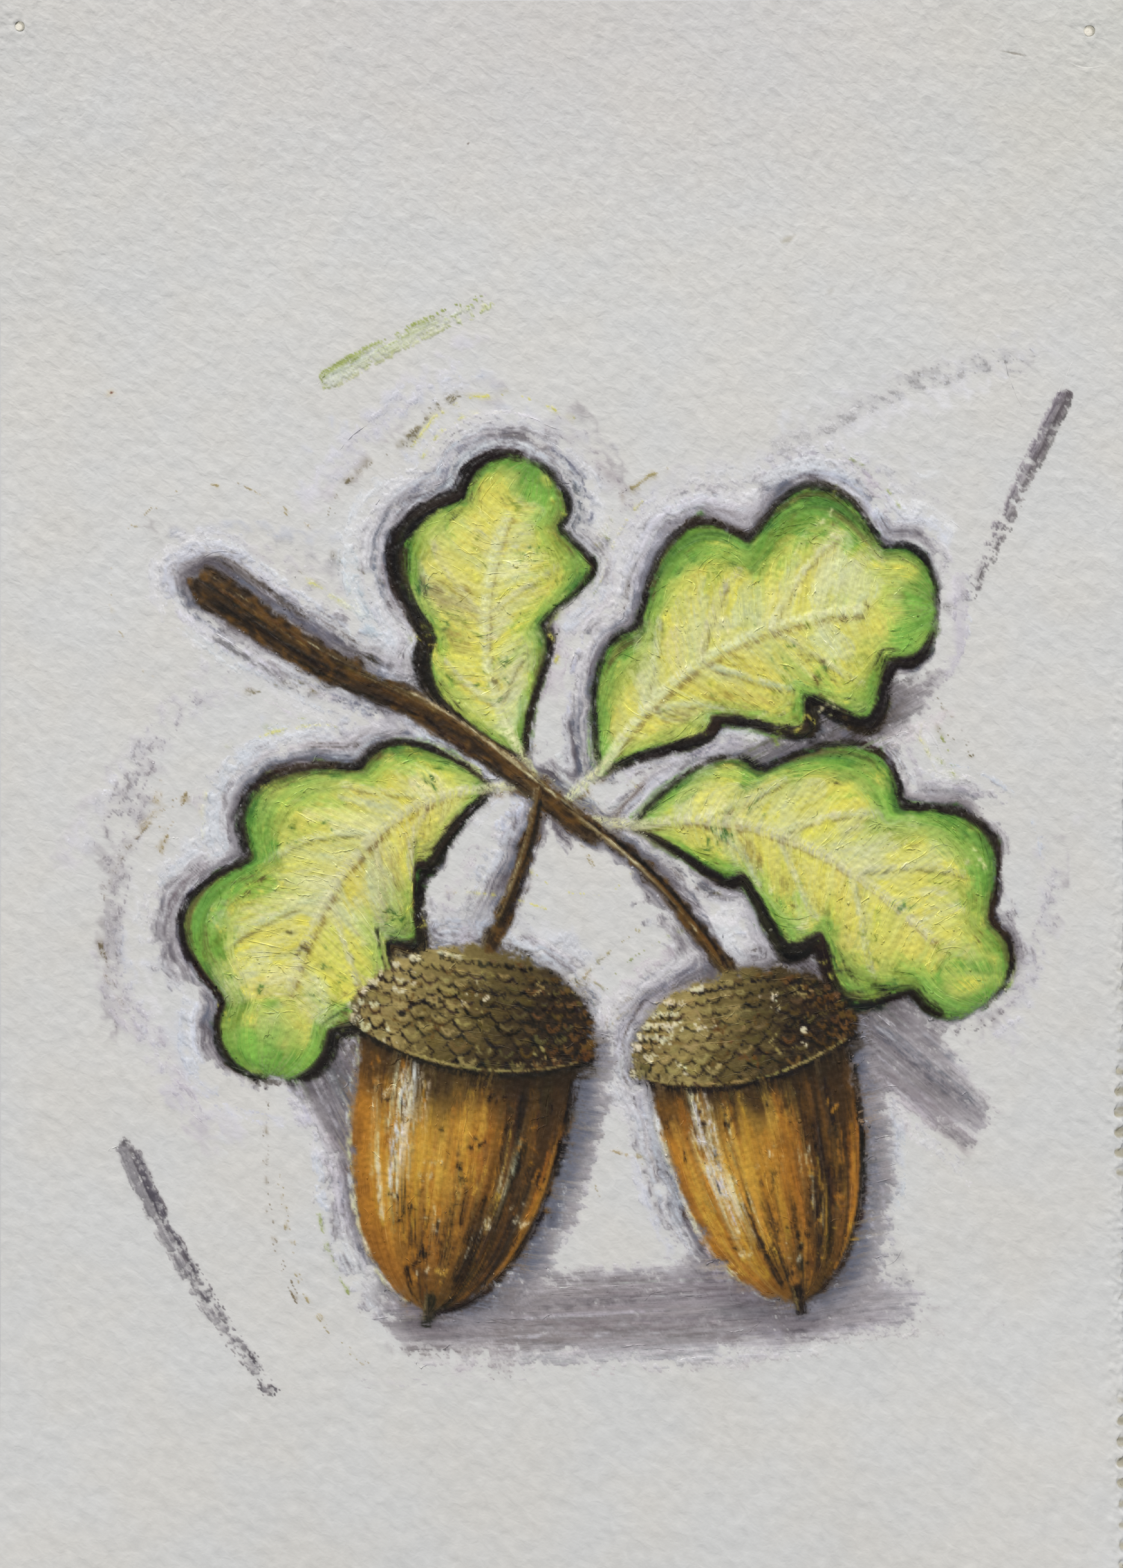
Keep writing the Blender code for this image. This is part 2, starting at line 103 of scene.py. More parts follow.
ACORNS = {
    "left_acorn": ((-10, -20), -9.0, 1.09, (-3, 1)),
    "right_acorn": ((22, -23), 12.0, 1.0, (3, -3)),
}
CAP_HALF_WIDTH = 15.0
CAP_HEIGHT = 11.5
CAP_SAG = 3.5
CAP_BLUNTNESS = 0.8
NUT_HALF_WIDTH = 13.3
NUT_LENGTH = 33.0
NUT_STEPS = 22
NUT_FULLNESS = 2.7
NUT_BLUNTNESS = 0.55
LEAST_HALF_WIDTH = 1.0
TIP_END = 1.04
TIP_SHARE = 0.1
TIP_TAPER = 0.05
SHADE = (0.1, 0.98, 0.84, 0.4)
HIGHLIGHT = (0.08, 0.74, -0.7, -0.44)
STALK_HALF_WIDTHS = (0.7, 1.2)
STALK_BOW = (2.5, 1.5)
STALK_INSET = 0.6
ACORN_SHADOW_FALL = (4.5, -3.0)
CROWN_SHARE = 0.45
CROWN_SPREAD = (0.85, 0.0, -0.85)

TWIG_LINE = ((-47, 28), (-32, 18), (-16, 10), (4, -5))
TWIG_HALF_WIDTHS = (2.6, 1.5)
SHADOWS = {
    "ground_shadow": ((12, -68), 37, 7.5, 3),
    "right_leaf_shadow": ((43, -33), 18, 6.5, -40),
    "left_leaf_shadow": ((-30, -39), 13, 5.5, -62),
    "upper_leaf_shadow": ((33, 6), 19, 5.0, 27),
}
LOOSE_STROKES = {
    "grey_stroke_low": ((-57, -47), (-51, -62), (-40, -76), 1.8),
    "grey_stroke_high": ((66, 52), (61, 42), (55, 29), 1.7),
    "pale_stroke": ((-31, 55), (-23, 60), (-13, 64), 1.9),
}
STROKE_TAPER = 0.6

# The canvas: a lattice of fine cells, three of them to each cell of the bare sheet
COARSE = 3
COLUMNS, ROWS = 224 * COARSE, 318 * COARSE
CELL = WIDTH / COLUMNS
X, Y = np.meshgrid(
    np.linspace(-WIDTH / 2, WIDTH / 2, COLUMNS + 1), np.linspace(-HEIGHT / 2, HEIGHT / 2, ROWS + 1)
)

# Pastel colours as seen, red, green and blue from 0 to 255
PIGMENTS = {
    "paper": (210, 208, 206),
    # painted shade: the grey tinted into the torn edge's pockets, where shade falls
    "pocket_shade_grey": (172, 166, 146),
    "yellow": (214, 208, 98),
    "lemon": (228, 222, 96),
    "pale": (205, 210, 164),
    "butter": (232, 228, 172),
    "white": (217, 216, 221),
    "cream": (222, 214, 178),
    "blue_white": (200, 205, 217),
    "leaf": (104, 154, 60),
    "bright_green": (130, 182, 74),
    "forest": (56, 100, 38),
    "lime": (172, 190, 94),
    "moss": (128, 144, 52),
    "ochre": (178, 120, 38),
    "gold": (206, 164, 62),
    "sienna": (140, 90, 30),
    "brown": (98, 68, 28),
    "dark_brown": (42, 30, 18),
    "black": (14, 10, 8),
    "olive": (92, 78, 40),
    "khaki": (156, 138, 84),
    "lilac": (152, 146, 150),
    "light_lilac": (192, 187, 194),
    "smoke": (112, 106, 110),
    "slate": (90, 94, 110),
    "dusk": (84, 77, 84),
}
PIGMENTS = {name: np.array(colour, float) for name, colour in PIGMENTS.items()}


def linear(colour):
    """A colour as seen, turned into the light that a shader works with."""
    share = np.clip(np.asarray(colour, float) / 255, 0, 1)
    return np.where(share <= 0.04045, share / 12.92, ((share + 0.055) / 1.055) ** 2.4)


def smooth(low, high, value):
    share = np.clip((value - low) / (high - low), 0.0, 1.0)
    return share * share * (3.0 - 2.0 * share)


def between(span, share):
    return span[0] + (span[1] - span[0]) * share


def even_steps(count):
    """Shares from 0 to 1 that crowd towards both ends, for shapes that close in an arc."""
    return (1 - np.cos(np.pi * np.arange(count + 1) / count)) / 2


def unit(vector):
    return vector / np.maximum(np.linalg.norm(vector, axis=-1, keepdims=True), 1e-9)


def stacked(*parts):
    """Coordinates or colours side by side, as the last axis of one array."""
    return np.stack(parts, axis=-1)


def left_of(heading):
    return stacked(-heading[..., 1], heading[..., 0])


def axes(turn):
    """The directions along and across something that is turned by that angle."""
    return np.array((math.cos(turn), math.sin(turn))), np.array((-math.sin(turn), math.cos(turn)))


def step_lengths(line):
    return np.linalg.norm(np.diff(line, axis=0), axis=1)


def closed(outline):
    return np.vstack([outline, outline[:1]])


def column(value):
    """A number, or an array of them, set up to multiply points or colours."""
    return np.asarray(value, float)[..., None]


def mixed(first, second, amount):
    """Two colours, by name or as arrays, blended by an array of amounts."""
    first = PIGMENTS[first] if isinstance(first, str) else first
    second = PIGMENTS[second] if isinstance(second, str) else second
    return first + (second - first) * column(amount)


def bent(start, bend, end, share):
    """Places and unit directions on a curve that leaves start towards bend and arrives at end from it."""
    start, bend, end = (np.array(p, float) for p in (start, bend, end))
    t = column(share)
    place = start * (1 - t) ** 2 + bend * 2 * t * (1 - t) + end * t**2
    return place, unit((bend - start) * (1 - t) + (end - bend) * t)


def smooth_line(points, share):
    """Places on a Catmull-Rom curve through the points."""
    points = np.array(points, float)
    points = np.vstack([2 * points[0] - points[1], points, 2 * points[-1] - points[-2]])
    share = np.clip(np.asarray(share, float), 0, 1) * (len(points) - 3)
    span = np.minimum(share.astype(int), len(points) - 4)
    t = column(share - span)
    a, b, c, d = (points[span + k] for k in range(4))
    return b + ((c - a) * t + (2 * a - 5 * b + 4 * c - d) * t**2 + (3 * b - a - 3 * c + d) * t**3) / 2


def ribbon(line, half_widths):
    """The outline of a strip along the line, whose half width runs from the first value to the last."""
    share = column(np.linspace(0, 1, len(line)))
    half = between(half_widths, share)
    side = left_of(unit(np.gradient(line, axis=0)))
    ahead = unit(line[-1] - line[-2]) * half_widths[1]
    behind = unit(line[1] - line[0]) * half_widths[0]
    return np.vstack([line - side * half, line[-1:] + ahead, (line + side * half)[::-1], line[:1] - behind])


def noise(seed, along, across=None, turn=0.0):
    """A smooth random field over the canvas, of unit spread, with features that long and that wide."""
    rows, columns = ROWS + 6, COLUMNS + 3
    white = np.random.default_rng([SEED, seed]).standard_normal((rows, columns))
    down = np.fft.fftfreq(rows, CELL)[:, None]
    over = np.fft.rfftfreq(columns, CELL)[None, :]
    lengthways = over * math.cos(turn) + down * math.sin(turn)
    crossways = down * math.cos(turn) - over * math.sin(turn)
    gain = np.exp(-2 * ((lengthways * along) ** 2 + (crossways * (across or along)) ** 2))
    field = np.fft.irfft2(np.fft.rfft2(white) * gain, (rows, columns))[: ROWS + 1, : COLUMNS + 1]
    return (field - field.mean()) / field.std()


def soften(field, passes):
    """A blur that spreads by about the square root of half the passes, in cells."""
    for _ in range(passes):
        for axis in (0, 1):
            pad = [(0, 0)] * field.ndim
            pad[axis] = (1, 1)
            padded = np.moveaxis(np.pad(field, pad, mode="edge"), axis, 0)
            field = np.moveaxis((padded[:-2] + 2 * padded[1:-1] + padded[2:]) / 4, 0, axis)
    return field


def inside(outline, x, y):
    """Whether the closed outline winds round each point."""
    turns = np.zeros(x.shape, int)
    for a, b in zip(outline, np.roll(outline, -1, axis=0)):
        if a[1] == b[1]:
            continue
        passed = ((a[1] > y) != (b[1] > y)) & (x < a[0] + (y - a[1]) * (b[0] - a[0]) / (b[1] - a[1]))
        turns += np.where(passed, 1 if b[1] > a[1] else -1, 0)
    return turns != 0


# Cold-pressed grain: pebbles about a millimetre long that lean down to the right
GRAIN_TURN = math.radians(-38)
GRAIN = noise(1, 0.85, 0.7, GRAIN_TURN)
FINE_GRAIN = noise(2, 0.2)
TOOTH = 0.75 * GRAIN + 0.65 * FINE_GRAIN
COCKLE = noise(7, 14.0)
GRAIN_RELIEF = 0.03
COCKLE_RELIEF = 0.05

# How a hand's borders stray from the true outline, and patches of colour of three sizes
WOBBLE = 0.26 * noise(3, 1.8) + 0.12 * noise(4, 0.35), 0.26 * noise(5, 1.8) + 0.12 * noise(6, 0.35)
PATCHES = noise(8, 3.0)
SPOTS = noise(9, 0.9)
LUMPS = noise(11, 0.5)
STREAK_BANDS = noise(10, 6.0, 0.45, math.radians(4))


class Leaf:
    """An oak leaf drawn flat: a bent midrib, with rounded lobes that lean towards the tip."""

    def __init__(self, base, bend, tip, half_width, lobes, shaded_side, foot):
        self.ends = [np.array(p, float) for p in (base, bend, tip)]
        self.half_width = half_width
        self.lobes = lobes
        self.shaded_side = shaded_side
        self.foot = np.array(foot, float)
        self.length = step_lengths(bent(*self.ends, np.linspace(0, 1, 33))[0]).sum()

    def reach(self, share):
        """Half the blade's width at a share of the midrib."""
        share = np.clip(share, 0, 1)
        whole = np.maximum(np.sin(np.pi * share**BLADE_LEAD), 0) ** BLADE_BLUNTNESS
        wave = np.sin(np.pi * (self.lobes + 0.5) * share) ** 2
        return self.half_width * whole * (1 - LOBE_DEPTH * (1 - (wave + NOTCH_ROUNDNESS) ** LOBE_ROUNDNESS))

    def edge(self, share, side, scale=1.0):
        place, heading = bent(*self.ends, share)
        slant = left_of(heading) * column(side) + heading * LOBE_LEAN
        return place + slant * column(self.reach(share) * scale)

    def at(self, share, across):
        """A place at a share of the midrib and a signed share of the blade's width."""
        return self.edge(share, np.sign(across), np.abs(across))

    def blade(self):
        shares = even_steps(LEAF_STEPS)
        return np.vstack([self.edge(shares, -1), self.edge(shares[-2:0:-1], 1)])

    def field(self):
        """The light middle of the blade, closed across the midrib at both ends."""
        shares = between(FIELD_SPAN, even_steps(LEAF_STEPS))
        scale = FIELD_SHARE * np.sin(np.linspace(0, np.pi, LEAF_STEPS + 1)) ** FIELD_BLUNTNESS
        return np.vstack([self.edge(shares, -1, scale), self.edge(shares, 1, scale)[-2:0:-1]])

    def dark_edge(self):
        """The shaded rim, a strip along one side of the blade."""
        shares = between(DARK_EDGE_SPAN, np.linspace(0, 1, LEAF_STEPS + 1))
        outer = self.edge(shares, self.shaded_side)
        return np.vstack([outer, self.edge(shares, self.shaded_side, DARK_EDGE_INNER)[::-1]])

    def vein(self):
        """Midrib, stalk and side veins as one outline: the midrib's edges, and a slim spike for each vein."""
        stalk = unit(self.ends[0] - self.foot)
        sides = []
        for side in (-1, 1):
            edge = [self.foot + left_of(stalk) * side * VEIN_HALF_WIDTH]
            for lobe in range(self.lobes):
                root = between(VEIN_ROOTS, lobe / self.lobes)
                place, heading = bent(*self.ends, root)
                place = place + left_of(heading) * side * VEIN_HALF_WIDTH * (1 - MIDRIB_TAPER * root)
                spike = self.edge(root + VEIN_LEAD, side, VEIN_REACH)
                blunt = left_of(unit(spike - place)) * VEIN_TIP * side
                foot = heading * VEIN_FOOT
                edge += [place - foot, spike + blunt, spike - blunt, place + foot]
            sides.append(edge)
        return np.array(sides[0] + [bent(*self.ends, MIDRIB_END)[0]] + sides[1][::-1])

    def coordinates(self, x, y):
        """The share and the signed share of the width of each point, met along the lobes' slanted lines."""
        shares = np.linspace(*SLICE_SPAN, SLICES)
        places, headings = bent(*self.ends, shares)
        found = np.full(x.shape, shares[-1])
        side = np.zeros(x.shape)
        unmet = np.ones(x.shape, bool)
        before = np.full(x.shape, -1.0)
        for share, place, heading in zip(shares, places, headings):
            ahead = (x - place[0]) * heading[0] + (y - place[1]) * heading[1]
            beside = (y - place[1]) * heading[0] - (x - place[0]) * heading[1]
            left = ahead - LOBE_LEAN * np.abs(beside)
            met = unmet & (before > 0) & (left <= 0)
            part = before / np.maximum(before - left, 1e-9)
            found[met] = share - (1 - part[met]) * (shares[1] - shares[0])
            side[met] = beside[met]
            unmet &= ~met
            before = left
        return found, side / np.maximum(self.reach(found), LEAST_REACH)


class Acorn:
    """An acorn drawn from the side: u runs down its axis from the top of the cap, v across it."""

    def __init__(self, top, lean_degrees, scale, foot):
        self.top, self.foot = np.array(top, float), np.array(foot, float)
        self.scale = scale
        self.side, up = axes(math.radians(lean_degrees))
        self.down = -up

    def spot(self, u, v):
        return self.top + (self.down * column(u) + self.side * column(v)) * self.scale

    def brim(self, share, drop=0.0):
        """A point on the cap's lower border, from -1 at its left end to 1 at its right."""
        return self.spot(CAP_HEIGHT + CAP_SAG * (1 - share**2) + drop, CAP_HALF_WIDTH * share)

    def cap(self):
        turn = np.linspace(0, np.pi, NUT_STEPS + 1)
        rise = np.maximum(np.sin(turn), 0) ** CAP_BLUNTNESS
        dome = self.spot(CAP_HEIGHT * (1 - rise), CAP_HALF_WIDTH * np.cos(turn))
        return np.vstack([dome, self.brim(np.linspace(-1, 1, NUT_STEPS + 1))[1:-1]])

    def half_width(self, share):
        """Half the nut's width at a share of its length, with a small point at its tip."""
        belly = np.maximum(0.0, 1 - np.maximum(share, 0) ** NUT_FULLNESS) ** NUT_BLUNTNESS
        return NUT_HALF_WIDTH * np.maximum(belly, TIP_SHARE * np.clip((TIP_END - share) / TIP_TAPER, 0, 1))

    def flank(self, share, across):
        """A point at a share of the nut's length, and a signed share of its half width there."""
        return self.spot(CAP_HEIGHT + NUT_LENGTH * share, across * self.half_width(share))

    def nut(self):
        """The nut's outline, from where the cap hides it."""
        shares = TIP_END * even_steps(NUT_STEPS * 2)
        return np.vstack([self.flank(shares, -1), self.flank(shares[::-1], 1)])

    def sickle(self, first, last, outer, inner):
        """A curved patch along one flank, pointed at both ends, between two shares of the half width."""
        shares = np.linspace(first, last, NUT_STEPS + 1)
        middle, half = (outer + inner) / 2, (outer - inner) / 2
        swell = half * np.sin(np.linspace(0, np.pi, NUT_STEPS + 1))
        return np.vstack([self.flank(shares, middle + swell), self.flank(shares, middle - swell)[-2:0:-1]])

    def shadow(self):
        """The whole acorn's shape from its shoulders down, where its shadow falls."""
        shares = np.linspace(0, TIP_END, NUT_STEPS + 1)
        crown = self.spot(CAP_HEIGHT * CROWN_SHARE, CAP_HALF_WIDTH * np.array(CROWN_SPREAD))
        outline = np.vstack([self.flank(shares, -1), self.flank(shares[::-1], 1), crown])
        return outline + np.array(ACORN_SHADOW_FALL)

    def stalk_line(self):
        bend = (self.foot + self.top) / 2 + np.array(STALK_BOW)
        return bent(self.foot, bend, self.top + self.down * STALK_INSET, np.linspace(0, 1, 13))[0]

    def coordinates(self, x, y):
        """How far down the axis and how far across it each point lies."""
        dx, dy = (x - self.top[0]) / self.scale, (y - self.top[1]) / self.scale
        return dx * self.down[0] + dy * self.down[1], dx * self.side[0] + dy * self.side[1]

    def on_nut(self, x, y):
        """The share of the nut's length and the signed share of its half width of each point."""
        u, v = self.coordinates(x, y)
        share = (u - CAP_HEIGHT) / NUT_LENGTH
        return share, v / np.maximum(self.half_width(share), LEAST_HALF_WIDTH)


leaves = {name: Leaf(*values) for name, values in LEAVES.items()}
acorns = {name: Acorn(*values) for name, values in ACORNS.items()}
twig_line = smooth_line(TWIG_LINE, np.linspace(0, 1, 25))
loose_lines = {
    name: bent(start, bend, end, np.linspace(0, 1, 15))[0]
    for name, (start, bend, end, _) in LOOSE_STROKES.items()
}
stalk_lines = {name + "_stalk": acorn.stalk_line() for name, acorn in acorns.items()}


def window(points, margin):
    """The part of the canvas within that margin of the points, as slices of rows and columns."""
    low, high = points.min(axis=0) - margin, points.max(axis=0) + margin
    corner = np.array((WIDTH, HEIGHT)) / 2
    first = np.floor((low + corner) / CELL).astype(int)
    last = np.ceil((high + corner) / CELL).astype(int) + 1
    first, last = np.maximum(first, 0), np.minimum(last, (COLUMNS + 1, ROWS + 1))
    return slice(first[1], max(last[1], first[1])), slice(first[0], max(last[0], first[0]))


def drawn_at(area):
    """Where a hand put each point of that part of the canvas."""
    return X[area] + WOBBLE[0][area], Y[area] + WOBBLE[1][area]


def depth_in(outline, margin=3.0):
    """A part of the canvas, and how deep each point there lies inside the outline as a hand drew it."""
    area = window(outline, margin)
    x, y = drawn_at(area)
    nearest = np.full(x.shape, np.inf)
    for a, b in zip(outline, np.roll(outline, -1, axis=0)):
        step = b - a
        if not step.any():
            continue
        share = np.clip(((x - a[0]) * step[0] + (y - a[1]) * step[1]) / (step @ step), 0, 1)
        gap = (x - a[0] - share * step[0]) ** 2 + (y - a[1] - share * step[1]) ** 2
        nearest = np.minimum(nearest, gap)
    return area, np.where(inside(outline, x, y), 1, -1) * np.sqrt(nearest)


def ellipse(centre, half_length, half_width, turn_degrees):
    angle = np.linspace(0, 2 * np.pi, 36, endpoint=False)
    along, across = axes(math.radians(turn_degrees))
    return centre + along * column(half_length * np.cos(angle)) + across * column(half_width * np.sin(angle))


def drawn_shapes():
    """Every colour field's outline, front to back, named as its node."""
    shapes = {}
    for name, acorn in acorns.items():
        shapes[name + "_cap"] = acorn.cap()
        shapes[name + "_shade"] = acorn.sickle(*SHADE)
        shapes[name + "_highlight"] = acorn.sickle(*HIGHLIGHT)
        shapes[name + "_nut"] = acorn.nut()
        shapes[name + "_stalk"] = ribbon(stalk_lines[name + "_stalk"], STALK_HALF_WIDTHS)
    shapes["twig"] = ribbon(twig_line, TWIG_HALF_WIDTHS)
    for name, leaf in leaves.items():
        shapes[name + "_vein"] = leaf.vein()
        shapes[name + "_field"] = leaf.field()
        shapes[name + "_dark_edge"] = leaf.dark_edge()
        shapes[name + "_rim"] = leaf.blade()
    for name, acorn in acorns.items():
        shapes[name + "_shadow"] = acorn.shadow()
    for name, values in SHADOWS.items():
        shapes[name] = ellipse(*values)
    for name, line in loose_lines.items():
        half = LOOSE_STROKES[name][3]
        shapes[name] = ribbon(line, (half, half * STROKE_TAPER))
    return shapes


shapes = drawn_shapes()
depths = {name: depth_in(outline) for name, outline in shapes.items()}

# How deep each point lies inside the sprig as a whole, and the way along its outline there
SOLID_PARTS = ("_cap", "_nut", "_stalk", "twig", "_rim")
SPRIG_MARGIN = 14.0
sprig_depth = np.full(X.shape, -SPRIG_MARGIN)
for shape_name, outline in shapes.items():
    if shape_name.endswith(SOLID_PARTS):
        area, depth = depth_in(outline, SPRIG_MARGIN)
        sprig_depth[area] = np.maximum(sprig_depth[area], depth)
uphill = np.gradient(soften(sprig_depth, 12))
contour_way = unit(stacked(-uphill[0], uphill[1]))

# The canvas itself: the colour as seen, how well it hides the paper, how thick it lies and how it is rubbed
ink = np.tile(PIGMENTS["paper"], (*X.shape, 1))
cover = np.zeros(X.shape)
body = np.zeros(X.shape)
rub = contour_way.copy()
EVERYWHERE = slice(None), slice(None)


def nearest_cell(rows, columns):
    """Whole rows and columns of the canvas."""
    return np.clip(np.rint(rows), 0, ROWS).astype(int), np.clip(np.rint(columns), 0, COLUMNS).astype(int)


def turned_with(way, before):
    """The directions, each reversed where it would turn back."""
    return way * column(np.where((way * before).sum(axis=-1) < 0, -1.0, 1.0))


def drawn_out(field, steps, stride=1.0):
    """The field averaged along the way the pastel was rubbed, over that many steps to each side."""
    total = field.copy()
    for sign in (1, -1):
        rows, columns = np.indices(X.shape, dtype=float)
        before = rub * sign
        for _ in range(steps):
            before = turned_with(rub[nearest_cell(rows, columns)], before)
            columns += before[..., 0] * stride
            rows += before[..., 1] * stride
            total += field[nearest_cell(rows, columns)]
    return total / (1 + 2 * steps)


def streaks(seed, width, steps):
    """A random field of unit spread, in streaks of that width that run the way the pastel is rubbed."""
    field = drawn_out(noise(seed, width), steps)
    return field / field.std()


# Streaks along the sprig's outline, fine and broad
OUTLINE_STREAKS = streaks(14, 0.22, 18)
BROAD_STREAKS = streaks(15, 0.9, 16)

# A small random field that repeats, from which each stroke reads its streaks
STREAK_SIZE = 512
STREAKS_A_MM = 9.0
STREAK_STEPS_A_MM = 2.0


def streak_field():
    white = np.random.default_rng(SEED).standard_normal((STREAK_SIZE, STREAK_SIZE))
    pitch = np.fft.fftfreq(STREAK_SIZE)
    gain = np.exp(-2 * ((pitch[:, None] * 1.1) ** 2 + (pitch[None, :] * 5.0) ** 2))
    field = np.fft.ifft2(np.fft.fft2(white) * gain).real
    return field / field.std()


STREAKS = streak_field()


def along_line(line, x, y):
    """How far along the line and how far to its left each point lies."""
    steps = np.diff(line, axis=0)
    lengths = np.maximum(np.linalg.norm(steps, axis=1), 1e-6)
    starts, steps, sizes = line[:-1, :, None, None], steps[:, :, None, None], lengths[:, None, None]
    share = np.clip(((x - starts[:, 0]) * steps[:, 0] + (y - starts[:, 1]) * steps[:, 1]) / sizes**2, 0, 1)
    gap_x = x - starts[:, 0] - share * steps[:, 0]
    gap_y = y - starts[:, 1] - share * steps[:, 1]
    gap = gap_x**2 + gap_y**2
    nearest = gap.argmin(axis=0)[None]
    side = np.sign(steps[:, 0] * gap_y - steps[:, 1] * gap_x)
    across = np.take_along_axis(np.sqrt(gap) * side, nearest, 0)[0]
    passed = np.concatenate([[0], np.cumsum(lengths)[:-1]])[nearest[0]]
    return passed + np.take_along_axis(share, nearest, 0)[0] * lengths[nearest[0]], across


def layered(base, *layers):
    """A colour with others laid over it in turn, each by its own amount."""
    for pigment, amount in layers:
        base = mixed(base, pigment, amount)
    return base


def one_of(rng, pigments):
    names = pigments.split()
    return names[rng.integers(len(names))]


def lay(area, colour, amount, thickness=0.0):
    """Pastel laid on part of the canvas. The amount is how well it hides what is there."""
    ink[area] += (colour - ink[area]) * column(amount)
    cover[area] = 1 - (1 - cover[area]) * (1 - amount)
    body[area] += amount * thickness


def fill(area, depth, colour, thickness, lumps=0.3):
    """A field of colour rubbed in as far as its border, with lumps in its thickness."""
    lay(area, colour, smooth(-0.3, 0.45, depth + 0.2 * TOOTH[area]), thickness * (1 + lumps * LUMPS[area]))


# A stroke: its soft border and the ridge of wax along it, in millimetres, and what breaks it up
STROKE_MARGIN = 0.4
BORDER_SOFTNESS = 0.22
BORDER_GRAIN = 0.07
RIDGE_INSET = 0.18
RIDGE_SPREAD = 0.16
BARE_BODY = 0.1
STREAK_BREAKS = 0.22
GRAIN_BREAKS = (0.1, 0.4)
CATCH_SPAN = (0.15, 0.75)


def stroke(
    rng, line, half_width, pigment, load=0.8, opacity=0.85, thickness=0.02, ridge=0.03, tint=6.0, fade=0.0
):
    """One stroke of a pastel stick along the line. A low load catches only the grain's peaks."""
    area = window(line, half_width + STROKE_MARGIN)
    x, y = X[area], Y[area]
    if not x.size:
        return
    along, across = along_line(line, x, y)
    rows = ((across + rng.uniform(0, 40)) * STREAKS_A_MM).astype(int) % STREAK_SIZE
    columns = ((along + rng.uniform(0, 200)) * STREAK_STEPS_A_MM).astype(int) % STREAK_SIZE
    streak = STREAKS[rows, columns]
    breaks = between(GRAIN_BREAKS, 1 - smooth(0.0, BARE_BODY, body[area])) * TOOTH[area]
    catch = load - fade * along / step_lengths(line).sum() + STREAK_BREAKS * streak + breaks
    room = half_width - np.abs(across) + BORDER_GRAIN * TOOTH[area]
    amount = opacity * smooth(0.0, BORDER_SOFTNESS, room) * smooth(*CATCH_SPAN, catch)
    colour = PIGMENTS[pigment] + rng.normal(0, tint, 3) * 0.5 + rng.normal(0, tint)
    lay(area, colour, amount, thickness * (1 + 0.5 * streak))
    edge = np.exp(-(((np.abs(across) - half_width + RIDGE_INSET) / RIDGE_SPREAD) ** 2))
    body[area] += ridge * edge * amount * smooth(-0.2, 1.0, streak)


def hatch(rng, at, count, pigments, first, last, run, half_widths, load=0.8, opacity=0.8, **finish):
    """Strokes that start anywhere between two corners of a shape's own coordinates and run the given way."""
    first, last, run = (np.array(v, float) for v in (first, last, run))
    for _ in range(count):
        start = first + (last - first) * rng.random(2)
        way = run * rng.uniform(0.5, 1.3) * (1 if rng.random() < 0.5 else -1)
        sway = rng.normal(0, 0.12) * run[::-1]
        steps = column(np.linspace(-0.5, 0.5, 8))
        path = start + way * steps + sway * (0.25 - steps**2)
        line = at(path[:, 0], path[:, 1])
        pigment = one_of(rng, pigments)
        stroke(rng, line, rng.uniform(*half_widths), pigment, load + rng.normal(0, 0.08), opacity, **finish)


def offset_run(rng, outline, distance, length):
    """Part of a closed outline, from anywhere on it, moved outwards."""
    loop = closed(outline)
    passed = np.concatenate([[0], np.cumsum(step_lengths(loop))])
    where = (rng.uniform(0, passed[-1]) + np.linspace(0, length, 9)) % passed[-1]
    line = stacked(*(np.interp(where, passed, loop[:, k]) for k in (0, 1)))
    area_sign = np.sign(np.sum(loop[:-1, 0] * loop[1:, 1] - loop[1:, 0] * loop[:-1, 1]))
    return line - left_of(unit(np.gradient(line, axis=0))) * area_sign * distance


def rows_of_strokes(rng, at, rows, side=1):
    """Hatching from a table. Each row's places and runs are mirrored to the given side of the shape."""
    for count, pigments, first, last, run, half_widths, load, opacity, fade in rows:
        first, last, run = ((along, across * side) for along, across in (first, last, run))
        hatch(rng, at, count, pigments, first, last, run, half_widths, load, opacity, fade=fade)


# Where the white and grey pastel was rubbed round the sprig: most of it up and to the left
RUBBED_SIDE = (-0.62, 0.78)
FILM_REACHES = (2.5, 11.0)
BAND_WIDTHS = (0.9, 5.0)

# Wide dry strokes that lead away from the sprig: where each starts, bends and ends
SWEEPS = (
    ((-52, 33), (-40, 36), (-24, 26)),
    ((-32, 42), (-22, 54), (-10, 56)),
    ((-24, 24), (-27, 38), (-14, 52)),
    ((0, 47), (8, 40), (12, 33)),
    ((14, 36), (30, 48), (50, 40)),
    ((-62, -8), (-56, 10), (-40, 18)),
    ((-58, -30), (-62, -12), (-54, 2)),
    ((30, 45), (44, 54), (62, 60)),
    ((-44, -44), (-52, -36), (-58, -22)),
    ((58, -30), (66, -18), (64, -6)),
)
SWEEP_PIGMENTS = "white blue_white white light_lilac lilac"
SWEEP_STROKES = 7
SWEEP_SCATTER = 2.2

# Loose lines round each motif: spacing along its outline, pigments, distances, lengths, half widths and load
HALO_LINES = (
    (2.6, "white white blue_white light_lilac", (0.4, 6.0), (6, 17), (0.3, 1.3), 0.5),
    (6.0, "smoke slate lilac dark_brown", (0.1, 2.6), (5, 15), (0.25, 0.7), 0.42),
    (24.0, "khaki olive", (8.0, 11.5), (10, 22), (0.25, 0.6), 0.2),
    (34.0, "lemon moss", (4.5, 8.0), (7, 18), (0.15, 0.3), 0.38),
)


